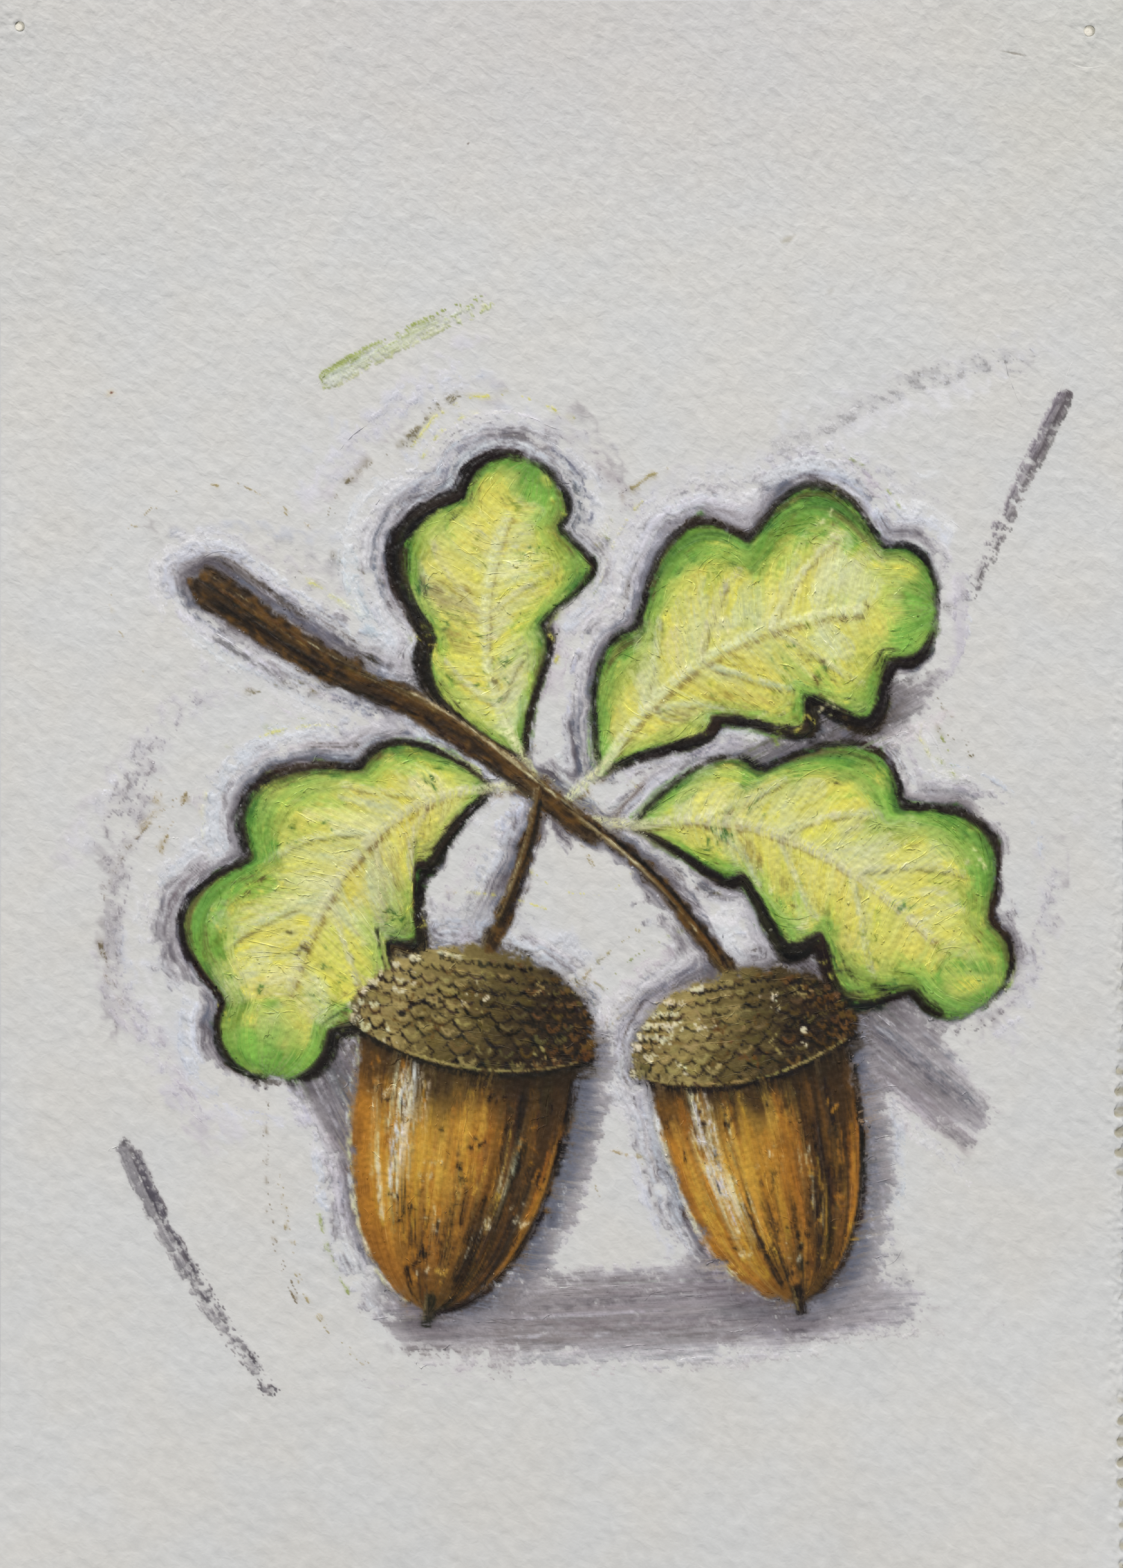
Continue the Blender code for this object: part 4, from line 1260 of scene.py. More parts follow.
def normals_of(points, faces):
    """A normal for each point of a mesh of triangles or quads, from the faces round it."""
    total = np.zeros(points.shape)
    sides = points[faces]
    facing = np.cross(sides[:, 1] - sides[:, 0], sides[:, -1] - sides[:, 0])
    for corner in range(faces.shape[1]):
        np.add.at(total, faces[:, corner], facing)
    return unit(total)


def opaque(colour):
    """Colours as seen, made ready to be stored on a mesh."""
    return np.column_stack([linear(colour), np.ones(len(colour))])


def halved(a, b, c, d):
    """Quads with those corners, cut into triangles along the diagonal that runs down to the right."""
    return np.vstack([stacked(a, b, d), stacked(b, c, d)])


def repeated(faces, points, count):
    """The faces of several copies of a shape, one after another, each with that many points."""
    return (faces[None] + np.arange(count)[:, None, None] * points).reshape(-1, faces.shape[1])


def round_detail(tall, wide, detail):
    """All the cells of each tile that holds a cell with some detail."""
    held = detail.reshape(ROWS // tall, tall, COLUMNS // wide, wide).any(axis=(1, 3))
    return held.repeat(tall, axis=0).repeat(wide, axis=1)


def tiles(tall, wide, detail, cut):
    """The rows and columns that bound each tile: large ones, and single cells where there is detail."""
    finer = round_detail(tall, wide, detail)
    row, place = np.nonzero(~finer[::tall, ::wide])
    large = stacked(row * tall, (row + 1) * tall, place * wide, (place + 1) * wide)
    row, place = np.nonzero(finer & ~cut)
    return np.vstack([large, stacked(row, row + 1, place, place + 1)])


def corners_of(bounds):
    """Which vertices of the canvas are a corner of a tile."""
    used = np.zeros(X.shape, bool)
    for row in (0, 1):
        for place in (2, 3):
            used[bounds[:, row], bounds[:, place]] = True
    return used


def ring_of(bounds, used):
    """A tile's corners and the used vertices along its sides, in turn."""
    low, high, left, right = bounds
    ring = [(low, k) for k in range(left, right)] + [(k, right) for k in range(low, high)]
    ring += [(high, k) for k in range(right, left, -1)] + [(k, left) for k in range(high, low, -1)]
    return [spot for spot in ring if used[spot]]


def tiled(bounds, used, place, first):
    """A surface over the tiles, numbered from first on. A tile with more than four vertices is a fan."""
    numbers = np.full(X.shape, -1)
    numbers[used] = first + np.arange(used.sum())
    points = place[used]
    low, high, left, right = bounds.T
    count = np.pad(used.astype(int), ((1, 0), (1, 0))).cumsum(axis=0).cumsum(axis=1)
    held = count[high + 1, right + 1] - count[low, right + 1] - count[high + 1, left] + count[low, left]
    plain = held == 4
    a, b = numbers[low, left][plain], numbers[low, right][plain]
    c, d = numbers[high, right][plain], numbers[high, left][plain]
    middles, fans = [], []
    for tile in bounds[~plain]:
        ring = ring_of(tile, used)
        middle = first + len(points) + len(middles)
        middles.append(np.mean([place[spot] for spot in ring], axis=0))
        fans += [(numbers[spot], numbers[after], middle) for spot, after in zip(ring, ring[1:] + ring[:1])]
    middles, fans = np.array(middles).reshape(-1, 3), np.array(fans, int).reshape(-1, 3)
    return np.vstack([points, middles]), np.vstack([halved(a, b, c, d), fans]), numbers


# The sides of a cell, anticlockwise: two corners and the neighbour across, each in steps up and over
CELL_SIDES = (
    ((0, 0), (0, 1), (-1, 0)),
    ((0, 1), (1, 1), (0, 1)),
    ((1, 1), (1, 0), (1, 0)),
    ((1, 0), (0, 0), (0, -1)),
)

# What takes the height from a place, and the normal of what faces down
FLAT = (1.0, 1.0, 0.0)
DOWN = (0.0, 0.0, -1.0)


def crust_shell(cells, ways):
    """The closed shell of pastel over some of the canvas's cells, rooted a little way into the paper."""
    row, place = np.nonzero(cells)
    across = COLUMNS + 1
    low_left = row * across + place
    corners = stacked(low_left, low_left + 1, low_left + across + 1, low_left + across)
    used, numbered = np.unique(corners, return_inverse=True)
    top = halved(*numbered.reshape(corners.shape).T)

    # Underneath, whole blocks of cells are one tile each
    bounds = tiles(COARSE, COARSE, ~cells, ~cells)
    padded = np.pad(cells, 1)
    around = at_corners(padded)
    low_used = corners_of(bounds) | (np.any(around, axis=0) & ~np.all(around, axis=0))
    low_points, low_faces, low_numbers = tiled(bounds, low_used, crust_foot, len(used))

    walls = []
    for start, end, (up, over) in CELL_SIDES:
        bare = ~padded[row + 1 + up, place + 1 + over]
        ends = [(row[bare] + corner[0], place[bare] + corner[1]) for corner in (start, end)]
        first, second = (np.searchsorted(used, rows * across + places) for rows, places in ends)
        walls.append(stacked(second, first, low_numbers[ends[0]], low_numbers[ends[1]]))

    here = np.divmod(used, across)
    upper = stacked(X[here], Y[here], pastel_top[here])
    tint, drawn = opaque(ink[here]), opaque(pulled[here])
    flow = np.column_stack([ways[here], np.zeros(len(used))])
    hidden = np.zeros(len(low_points), int)
    return {
        "points": np.vstack([upper, low_points]),
        "faces": [top, low_faces[:, ::-1], np.vstack(walls)],
        "tint": np.vstack([tint, tint[hidden]]),
        "pulled": np.vstack([drawn, drawn[hidden]]),
        "flow": np.vstack([flow, low_points * FLAT]),
        "normals": np.vstack([pastel_normal[here], np.tile(DOWN, (len(low_points), 1))]),
    }


# Crumbs of wax, where the pastel is clotted and along the sprig's border
THICK_COVER = 0.8
CLOTTED = 0.5
CLOTS = noise(18, 1.6)
BORDER = 0.45
CRUMBS_A_CELL = 0.022
BORDER_CRUMBS_A_CELL = 0.06
CRUMB_SIZES = (0.04, 0.17)
CRUMB_STRETCH = (0.5, 1.7)
CRUMB_FLATNESS = 0.55
CRUMB_UNEVENNESS = 0.35
# How much lighter crumbs and ridges are tinted than the pastel under them, on average and with a random
# spread: a painted highlight for the light that their tops catch
GLINT = 14.0

# Raised lines of wax: long ones that follow the strokes, and curls where it crumbled.
# How many a cell, then the steps, wander, half widths and rises of their 12 points
RIDGE_POINTS = 12
RIDGE_SINK = 0.03
RIDGE_TIP = 0.12
RIDGE_BLUNTNESS = 0.6
RIDGE_SWELL = (0.85, 0.45)
SWELL_LIMITS = (0.15, 1.6)
LONG_RIDGES = (0.005, (0.2, 0.7), 0.08, (0.05, 0.11), (0.03, 0.09))
CURLS = (0.012, (0.08, 0.32), 0.36, (0.06, 0.13), (0.05, 0.14))


def ball():
    """A rough ball of 12 points and 20 triangles."""
    golden = (1 + 5**0.5) / 2
    points = []
    for one in (-1, 1):
        for other in (-golden, golden):
            points += [(0, one, other), (one, other, 0), (other, 0, one)]
    points = unit(np.array(points))
    faces = []
    for i in range(12):
        for j in range(i + 1, 12):
            for k in range(j + 1, 12):
                sides = (points[i] - points[j], points[j] - points[k], points[k] - points[i])
                if max(np.linalg.norm(side) for side in sides) < 1.1:
                    outward = np.dot(np.cross(points[j] - points[i], points[k] - points[i]), points[i]) > 0
                    faces.append((i, j, k) if outward else (i, k, j))
    return points, np.array(faces)


BALL_POINTS, BALL_FACES = ball()


def picked(rng, cells, count):
    """Rows and columns of some of the cells, drawn at random."""
    row, place = np.nonzero(cells)
    chosen = rng.integers(0, len(row), count)
    return row[chosen], place[chosen]


def wax(points, faces, tint):
    """Loose bits of wax as a part that can be joined to a crust."""
    tint = opaque(np.clip(tint, 0, 245))
    return {
        "points": points,
        "faces": [faces],
        "tint": tint,
        "pulled": tint,
        "flow": points * FLAT,
        "normals": normals_of(points, faces),
    }


def crumbs(rng, cells, count):
    """Grains of wax lying on the pastel, each an uneven lump sunk into it."""
    row, place = picked(rng, cells, count)
    size = between(CRUMB_SIZES, rng.random((count, 1, 1)) ** 2.5)
    stretch = rng.uniform(*CRUMB_STRETCH, (count, 1, 3)) * (1, 1, CRUMB_FLATNESS)
    uneven = 1 + CRUMB_UNEVENNESS * rng.standard_normal((count, len(BALL_POINTS), 1))
    local = BALL_POINTS[None] * stretch * uneven * size
    centre = stacked(X[row, place], Y[row, place], pastel_top[row, place])
    centre[:, :2] += rng.uniform(0, CELL, (count, 2))
    points = (centre[:, None] + local).reshape(-1, 3)
    # Lighter than the pastel under it on average: a painted highlight
    tint = pulled[row, place] + rng.normal(0.4, 1.2, (count, 1)) * GLINT
    tint = np.repeat(tint, len(BALL_POINTS), axis=0)
    return wax(points, repeated(BALL_FACES, len(BALL_POINTS), count), tint)


def ridges(rng, cells, count, steps, wander, half_widths, rises):
    """Thin raised lines of wax. Those that hardly wander run the way the pastel was rubbed."""
    row, place = picked(rng, cells, count)
    step = rng.uniform(*steps, count) / CELL
    rows, columns = row.astype(float), place.astype(float)
    before = unit(rub[row, place] + rng.normal(0, 2 * wander, (count, 2)))
    trail = []
    for _ in range(RIDGE_POINTS):
        trail.append((rows.copy(), columns.copy()))
        way = turned_with(rub[nearest_cell(rows, columns)], before)
        before = unit(before + (0.4 - 0.7 * wander) * way + rng.normal(0, wander, (count, 2)))
        columns += before[:, 0] * step
        rows += before[:, 1] * step
    rows, columns = np.array(trail).transpose(1, 2, 0)
    near = nearest_cell(rows, columns)
    line = stacked(columns * CELL - WIDTH / 2, rows * CELL - HEIGHT / 2)
    side = left_of(unit(np.gradient(line, axis=1)))
    taper = np.sin(np.linspace(RIDGE_TIP, np.pi - RIDGE_TIP, RIDGE_POINTS)) ** RIDGE_BLUNTNESS
    taper = taper * np.clip(rng.normal(*RIDGE_SWELL, (count, RIDGE_POINTS)), *SWELL_LIMITS)
    half = side * column(rng.uniform(*half_widths, (count, 1)) * taper)
    crest = column(pastel_top[near] + rng.uniform(*rises, (count, 1)) * taper)
    low = column(pastel_top[near] - RIDGE_SINK)
    section = (line - half, low), (line, low - 2 * RIDGE_SINK), (line + half, low), (line, crest)
    points = np.stack([np.concatenate(corner, axis=-1) for corner in section], axis=2).reshape(-1, 3)
    along = np.arange(RIDGE_POINTS - 1)[:, None] * 4
    turn, after = np.arange(4), np.roll(np.arange(4), -1)
    quads = stacked(along + turn, along + after, along + 4 + after, along + 4 + turn)
    last = (RIDGE_POINTS - 1) * 4
    quads = np.vstack([quads.reshape(-1, 4), turn[::-1], last + turn])
    # Lighter than the pastel under it on average: a painted highlight
    tint = ink[near] + rng.normal(0.6, 0.8, (count, 1, 1)) * GLINT
    return wax(points, repeated(quads, RIDGE_POINTS * 4, count), np.repeat(tint.reshape(-1, 3), 4, axis=0))


# Cells where enough pastel lies to show as a crust
LEAST_SHOWN = 0.05
shown = np.any(at_corners(covering > LEAST_SHOWN), axis=0)
finish_rng = np.random.default_rng([SEED, 3])


def pastel_piece(name, cells, ways, rough):
    """A colour field's pastel, with more crumbs and ridges the rougher it lies."""
    thick = cells & (cover[:-1, :-1] > THICK_COVER)
    clotted = thick & (CLOTS[:-1, :-1] > CLOTTED)
    border = cells & (np.abs(sprig_depth[:-1, :-1]) < BORDER)
    parts = [crust_shell(cells, ways)]
    for where, share, make, settings in (
        (clotted, CRUMBS_A_CELL * rough, crumbs, ()),
        (border, BORDER_CRUMBS_A_CELL, crumbs, ()),
        (thick, LONG_RIDGES[0] * rough, ridges, LONG_RIDGES[1:]),
        (clotted, CURLS[0] * rough, ridges, CURLS[1:]),
    ):
        count = round(where.sum() * share)
        if count:
            parts.append(make(finish_rng, where, count, *settings))
    whole = joined(parts)
    attributes = {key: whole[key] for key in ("tint", "pulled", "flow")}
    return make_mesh(name, whole["points"], whole["faces"], attributes, whole["normals"])


def nodes_of(name):
    """The CAD nodes of a colour field, which its neighbours may have cut into several."""
    return [node for node in frame["nodes"] if node == name or node.removeprefix(name + "_").isdigit()]


SLOTS = {part["node"]: part["material_slot"] for part in frame["record"]["subparts"]}

# How rough the wax lies, by the ending of a field's name
ROUGHNESS_OF = {"_field": 1.3, "_rim": 1.1, "_nut": 0.9, "_cap": 0.8, "_dark_edge": 0.6, "_highlight": 1.2}
PLAIN_ROUGHNESS = 0.2
SMEAR_ROUGHNESS = 0.15


class Wiring:
    """A material's nodes, linked as they are added."""

    def __init__(self, name):
        self.material = bpy.data.materials.new(name)
        self.material.use_nodes = True
        self.tree = self.material.node_tree
        self.shader = self.tree.nodes["Principled BSDF"]
        self.place = self.add("ShaderNodeTexCoord").outputs["Object"]

    def add(self, kind, settings=None, **inputs):
        """A node whose inputs are values or other nodes' outputs."""
        node = self.tree.nodes.new(kind)
        for key, value in (settings or {}).items():
            setattr(node, key, value)
        self.connect(node, **inputs)
        return node

    def connect(self, node, **inputs):
        """Sets a node's inputs, named with _ for each space or numbered as i0, i1 and so on."""
        for key, value in inputs.items():
            socket = node.inputs[int(key[1:]) if key[1:].isdigit() else key.replace("_", " ")]
            if isinstance(value, bpy.types.NodeSocket):
                self.tree.links.new(value, socket)
            else:
                socket.default_value = value

    def finish(self, **inputs):
        """Sets the shader's inputs and hands over the material."""
        self.connect(self.shader, **inputs)
        return self.material

    def maths(self, operation, a, b=0.0, c=0.0):
        return self.add("ShaderNodeMath", {"operation": operation}, i0=a, i1=b, i2=c).outputs[0]

    def sum(self, *terms):
        """The total of pairs of a value and its share."""
        total = 0.0
        for value, share in terms:
            total = self.maths("MULTIPLY_ADD", value, share, total)
        return total

    def attribute(self, name):
        return self.add("ShaderNodeAttribute", {"attribute_name": name}).outputs

    def turned(self, vector, sizes, turn=0.0, origin=(0.0, 0.0, 0.0)):
        """Coordinates in units of the given sizes, along axes turned by that angle."""
        settings = {"vector_type": "TEXTURE"}
        place = {"Location": origin, "Rotation": (0.0, 0.0, turn), "Scale": sizes}
        return self.add("ShaderNodeMapping", settings, Vector=vector, **place).outputs[0]

    def noise(self, vector, size, detail=2.0, roughness=0.5, distortion=0.0):
        """Noise with features of about that size, 0.5 on average."""
        settings = {"Scale": 1 / size, "Detail": detail, "Roughness": roughness, "Distortion": distortion}
        return self.add("ShaderNodeTexNoise", Vector=vector, **settings).outputs["Fac"]

    def stretched_noise(self, vector, sizes, *grain, turn=0.0):
        """Noise with features of those sizes along axes turned by that angle."""
        return self.noise(self.turned(vector, sizes, turn), 1.0, *grain)

    def distance(self, centre, half_length=1.0, half_width=1.0, turn=0.0):
        """How far each point lies from the middle of an ellipse on the drawing: 1 is on its outline."""
        sizes = half_length * MM, half_width * MM, 1000
        gap = self.turned(self.place, sizes, turn, (centre[0] * MM, centre[1] * MM, 0.0))
        return self.add("ShaderNodeVectorMath", {"operation": "LENGTH"}, i0=gap).outputs["Value"]

    def span(self, value, low, high, to_low, to_high):
        """A value from one range carried over to another, and held at its ends."""
        ranges = {"From_Min": low, "From_Max": high, "To_Min": to_low, "To_Max": to_high}
        return self.add("ShaderNodeMapRange", Value=value, **ranges).outputs[0]

    def blend(self, kind, amount, first, second):
        settings = {"data_type": "RGBA", "blend_type": kind}
        return self.add("ShaderNodeMix", settings, i0=amount, i6=first, i7=second).outputs[2]

    def shaded(self, colour, shade):
        """The colour made lighter or darker by a number that varies over the surface."""
        grey = self.add("ShaderNodeCombineColor", Red=shade, Green=shade, Blue=shade).outputs[0]
        return self.blend("MULTIPLY", 1.0, colour, grey)

    def bump(self, height, relief):
        """The normal of a surface raised by the height times the relief, in millimetres."""
        return self.add("ShaderNodeBump", Strength=1.0, Distance=relief * MM, Height=height).outputs[0]


def seen(*colour):
    """A colour as seen, as a shader's socket takes it."""
    return (*linear(colour), 1.0)


# How strongly pastel and paper mirror light
SHEEN = 0.25


def pastel_material(slot):
    """Waxy pastel: the painted tint, streaks of the colours rubbed into it, lighter and darker along streaks
    that also raise its bump, pits painted dark as painted shade, and an uneven gloss.
    """
    wiring = Wiring(slot)
    place = wiring.place
    flow = wiring.attribute("flow")["Vector"]
    broad = wiring.stretched_noise(flow, (9.0, 1.0, 1.0))
    fine = wiring.stretched_noise(flow, (4.0, 0.28, 1.0), 3.0, 0.55)
    combed = wiring.span(wiring.noise(place, 3.0 * MM), 0.42, 0.58, 0.15, 1.0)
    grain = wiring.noise(place, 0.5 * MM, 4.0, 0.6)
    fine = wiring.sum((wiring.maths("SUBTRACT", fine, 0.5), combed), (0.5, 1.0))
    streak = wiring.sum((fine, 0.5), (broad, 0.5))
    scratch = wiring.stretched_noise(flow, (5.0, 0.13, 1.0))
    scratch = wiring.maths("MULTIPLY", wiring.span(scratch, 0.58, 0.68, 0.0, 1.0), combed)
    amount = wiring.span(wiring.sum((streak, 1.0), (grain, 0.3)), 0.63, 0.71, 0.0, 0.85)
    tint, rubbed_in = (wiring.attribute(name)["Color"] for name in ("tint", "pulled"))
    colour = wiring.blend("MIX", amount, tint, rubbed_in)
    # Lighter and darker along the streaks and scratches that also raise the bump: partly the pastel's own
    # tone, partly painted light and shade
    shade = wiring.sum((wiring.span(streak, 0.36, 0.64, 0.86, 1.12), 1.0), (scratch, 0.09))
    # Painted shade in pits, where the grain is low
    pit_shade = wiring.span(wiring.sum((grain, 1.0), (streak, 0.3)), 0.4, 0.48, 0.66, 1.0)
    shade = wiring.maths("MULTIPLY", shade, pit_shade)
    gloss = wiring.sum((streak, 0.6), (grain, 0.4))
    return wiring.finish(
        Base_Color=wiring.shaded(colour, shade),
        Roughness=wiring.span(gloss, 0.4, 0.6, 0.36, 0.62),
        Specular_IOR_Level=SHEEN,
        Normal=wiring.bump(wiring.sum((streak, 0.8), (grain, 0.5), (scratch, 0.12)), 0.1),
    )


pastels = {slot: pastel_material(slot) for slot in dict.fromkeys(SLOTS[name] for name in depths)}
for number, (shape_name, (area, _)) in enumerate(depths.items()):
    cells = (owner == number) & shown
    endings = [ending for ending in ROUGHNESS_OF if shape_name.endswith(ending)]
    rough = ROUGHNESS_OF[endings[0]] if endings else PLAIN_ROUGHNESS
    ways = canvas_flow.copy()
    ways[area] = flows[shape_name]
    piece = pastel_piece(shape_name + "_pastel", cells, ways, rough)
    slot_name = SLOTS[shape_name]
    piece.data.materials.append(pastels[slot_name])
    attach(piece, "root")
    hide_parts(*nodes_of(shape_name))

# Smears that belong to no colour field: white and grey pastel rubbed round the sprig
for side, half in {"left": X[:-1, :-1] < 0, "right": X[:-1, :-1] >= 0}.items():
    cells = shown & (owner < 0) & half
    smears = pastel_piece("rubbed_smears_" + side, cells, canvas_flow, SMEAR_ROUGHNESS)
    smears.data.materials.append(pastels["pastel_white"])
    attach(smears, "root")


# The sheet's torn edge, in millimetres: how far in and how high up it shows, and how its pulp lies
TEAR_REACH = 1.7
TEAR_GROWTH = (20.0, -40.0)
TEAR_BACKSET = 0.1
TEAR_SINK = 0.05
POCKET_SINK = 0.1
TEAR_BULGE = 0.2

# Pin holes: the square ring of vertices that makes their rim, and the lip round it
HOLE_RING = 3
HOLE_BLEND = 9
LIP_RISE = 0.06
LIP_WIDTH = 0.3
LIP_OFFSET = 0.12
RIM_DIP = 0.06
RIM_WIDTH = 0.1

# The arc that a pin's head pressed in, and a small dent
PRESS_RADIUS = 4.85
PRESS_HALF_ANGLE = 0.42
PRESS_TURN = 0.13
PRESS_FADE = 0.4
PRESS_WIDTH = 0.22
PRESS_INNER = 3
PRESS_DEPTH = 0.07
DENT = ((57.9, 98.2), (60.4, 97.6))
DENT_WIDTH = 0.22
DENT_DEPTH = 0.1

# Tiles of the sheet's back, and from what strength tears and marks take single cells
BACK_TILE = (18, 24)
LEAST_TEAR = 0.02
LEAST_MARK = 0.05

# Rings of the edge's wall: share of the way down, and how far they fill the torn edge's pockets
RINGS = ((0.14, 0.12), (0.45, 0.8), (0.75, 1.0))


def tear_pockets(y):
    """How far the torn edge stands in at each height, from 0 to 1: small teeth along a perforated line."""
    up = y + HEIGHT / 2
    tooth = 0.5 - 0.5 * np.cos(2 * np.pi * up / TEAR_PITCH)
    drift = 0.5 + sum(share * np.sin(up / length + start) for share, length, start in TEAR_DRIFTS)
    return tooth * drift


# Over the canvas: how near the right edge is, how much it is torn, how deep its pockets are, how it frays
near_tear = smooth(WIDTH / 2 - TEAR_REACH, WIDTH / 2, X)
torn = smooth(*TEAR_GROWTH, Y)
pocket = tear_pockets(Y) * torn
fray = 0.07 * noise(12, 0.7) + 0.03 * noise(13, 0.3)


def press_marks(x, y):
    """How deep the arc of a pin's head and a small dent are pressed in, from 0 to 1 each."""
    hole_x, hole_y = PIN_HOLES["right"][0]
    angle = np.arctan2(x - hole_x, hole_y - y)
    arc = smooth(PRESS_HALF_ANGLE, PRESS_HALF_ANGLE * PRESS_FADE, np.abs(angle + PRESS_TURN))
    gap = np.hypot(x - hole_x, y - hole_y) - PRESS_RADIUS
    width = PRESS_WIDTH * np.where(gap < 0, PRESS_INNER, 1)
    along, across = along_line(np.array(DENT), x, y)
    swell = np.maximum(np.sin(np.pi * along / np.linalg.norm(np.subtract(*DENT))), 0) ** 0.7
    return arc * np.exp(-((gap / width) ** 2)), swell * np.exp(-((across / DENT_WIDTH) ** 2))


def sheet_tint():
    """The tints of thin films of pastel and of painted shade in the torn edge's pockets, and how well each
    hides the paper.
    """
    film = smooth(0.03, 0.5, soften(cover, 3)) * smooth(1.2, 0.2, near_tear)
    # Painted shade in the torn edge's pockets: the deeper the pocket, the greyer
    pocket_shading = smooth(0.1, 0.7, pocket) * smooth(0.5, 0.95, near_tear)
    shade = mixed(soften(ink, 2), "pocket_shade_grey", smooth(0.0, 0.3, pocket_shading))
    return np.concatenate([linear(shade), column(np.maximum(film, pocket_shading))], axis=-1)


class Sheet:
    """The sheet of paper over the canvas's lattice, with its torn edge, pin holes, press mark and dent."""

    def __init__(self):
        self.x, self.y = X - near_tear * TEAR_DEPTH * pocket, Y.copy()
        self.front_x = self.x - near_tear * torn * (TEAR_BACKSET + fray)
        self.dip = near_tear**2 * (torn * (TEAR_SINK + 0.5 * fray) + POCKET_SINK * pocket)
        self.near_holes = np.zeros((ROWS, COLUMNS), bool)
        self.cut = np.zeros((ROWS, COLUMNS), bool)
        self.hole_loops = []
        for hole, radius in PIN_HOLES.values():
            self.pierce(*hole, radius)
        press, dent = press_marks(self.x, Y)
        self.dip += PRESS_DEPTH * press + DENT_DEPTH * dent
        marks = (near_tear * torn > LEAST_TEAR) | (np.maximum(press, dent) > LEAST_MARK)
        self.detail = marks[:-1, :-1] | self.near_holes

    def pierce(self, hole_x, hole_y, radius):
        """Opens a pin hole: square rings of vertices become round ones, and a lip is raised."""
        row, place = round((hole_y + HEIGHT / 2) / CELL), round((hole_x + WIDTH / 2) / CELL)
        rows, columns = np.indices(X.shape)
        ring = np.maximum(np.abs(rows - row), np.abs(columns - place))
        way = unit(stacked(columns - place, rows - row).astype(float))
        hold = smooth(HOLE_BLEND, HOLE_RING, ring)
        for field, centre, part in ((self.x, hole_x, 0), (self.front_x, hole_x, 0), (self.y, hole_y, 1)):
            field += hold * (centre + way[..., part] * radius * ring / HOLE_RING - field)
        gap = np.hypot(self.front_x - hole_x, self.y - hole_y) - radius
        lip = np.exp(-(((gap - LIP_OFFSET) / LIP_WIDTH) ** 2)) * (1 + 0.5 * SPOTS)
        self.dip -= LIP_RISE * lip - RIM_DIP * np.exp(-((gap / RIM_WIDTH) ** 2))
        for cells, reach in ((self.near_holes, HOLE_BLEND), (self.cut, HOLE_RING)):
            cells[row - reach : row + reach, place - reach : place + reach] = True
        bounds = row - HOLE_RING, row + HOLE_RING, place - HOLE_RING, place + HOLE_RING
        self.hole_loops.append(ring_of(bounds, np.ones(X.shape, bool))[::-1])

    def places(self):
        """Where the vertices of the front and of the back lie, with fine grain only where there is detail."""
        fine = on_vertices(round_detail(COARSE, COARSE, self.detail))
        top = np.where(fine, fine_paper, coarse_paper) - self.dip
        return stacked(self.front_x, self.y, top), stacked(self.x, self.y, under)

    def build(self):
        front, back = self.places()
        front_tiles = tiles(COARSE, COARSE, self.detail, self.cut)
        back_tiles = tiles(*BACK_TILE, self.near_holes, self.cut)
        front_used, back_used = corners_of(front_tiles), corners_of(back_tiles)
        shared = front_used | back_used
        shared[1:-1, 1:-1] = False
        front_used |= shared
        back_used |= shared
        points, front_faces, front_numbers = tiled(front_tiles, front_used, front, 0)
        back_points, back_faces, back_numbers = tiled(back_tiles, back_used, back, len(points))
        points = np.vstack([points, back_points])
        tint = sheet_tint()
        tints = np.tile((*linear(PIGMENTS["paper"]), 0.0), (len(points), 1))
        tints[front_numbers[front_used]] = tint[front_used]

        # Walls round the outline, where the torn edge bulges, and round the pin holes
        walls = []
        outline = ring_of((0, ROWS, 0, COLUMNS), shared)
        for loop in (outline, *self.hole_loops):
            at = tuple(np.array(loop).T)
            frayed = (near_tear * torn)[at] * (loop is outline)
            filling = (near_tear * TEAR_DEPTH * pocket + TEAR_BULGE * torn)[at] * (loop is outline)
            rings = [front_numbers[at]]
            for share, reach in RINGS:
                ring = front[at] * (1 - share) + back[at] * share
                ring[:, 0] += filling * reach + frayed * fray[at] * (2 - share)
                rings.append(len(points) + np.arange(len(ring)))
                points, tints = np.vstack([points, ring]), np.vstack([tints, tint[at]])
            rings.append(back_numbers[at])
            for above, below in zip(rings, rings[1:]):
                walls.append(stacked(below, np.roll(below, -1), np.roll(above, -1), above))
        faces = [front_faces, back_faces[:, ::-1], np.vstack(walls)]
        return make_mesh("sheet_of_paper", points, faces, {"tint": tints})


# Specks and smudges of the bare paper, painted shade in a dent's crease and a painted grey shade along the
# top edge.
# Each has a place, a half length and width, a turn, a strength and a colour.
SPECKS = (
    ((-59.6, 53.2), 1.1, 0.8, 0.4, 0.35, (205, 186, 140)),
    ((-59.4, 53.3), 0.34, 0.28, 0.0, 0.95, (118, 66, 46)),
    ((-12.4, 86.2), 0.28, 0.2, 0.8, 0.85, (104, 90, 76)),
    ((29.7, 73.5), 1.4, 0.6, 0.5, 0.4, (152, 142, 108)),
    ((35.3, 66.6), 0.9, 0.6, 0.9, 0.35, (156, 152, 142)),
    # painted shade in the crease of the dent
    ((59.3, 97.8), 2.2, 0.26, -0.22, 0.8, (124, 118, 106)),
    # painted grey shade along the top edge
    ((0.0, 110.0), 90.0, 45.0, 0.0, 0.35, (193, 188, 187)),
)
# Where the bare paper turns darker and yellower towards the top right corner, and over what distances
CORNER_TINT_AT = (74.0, 105.0)
CORNER_TINT_REACH = (3.0, 42.0)


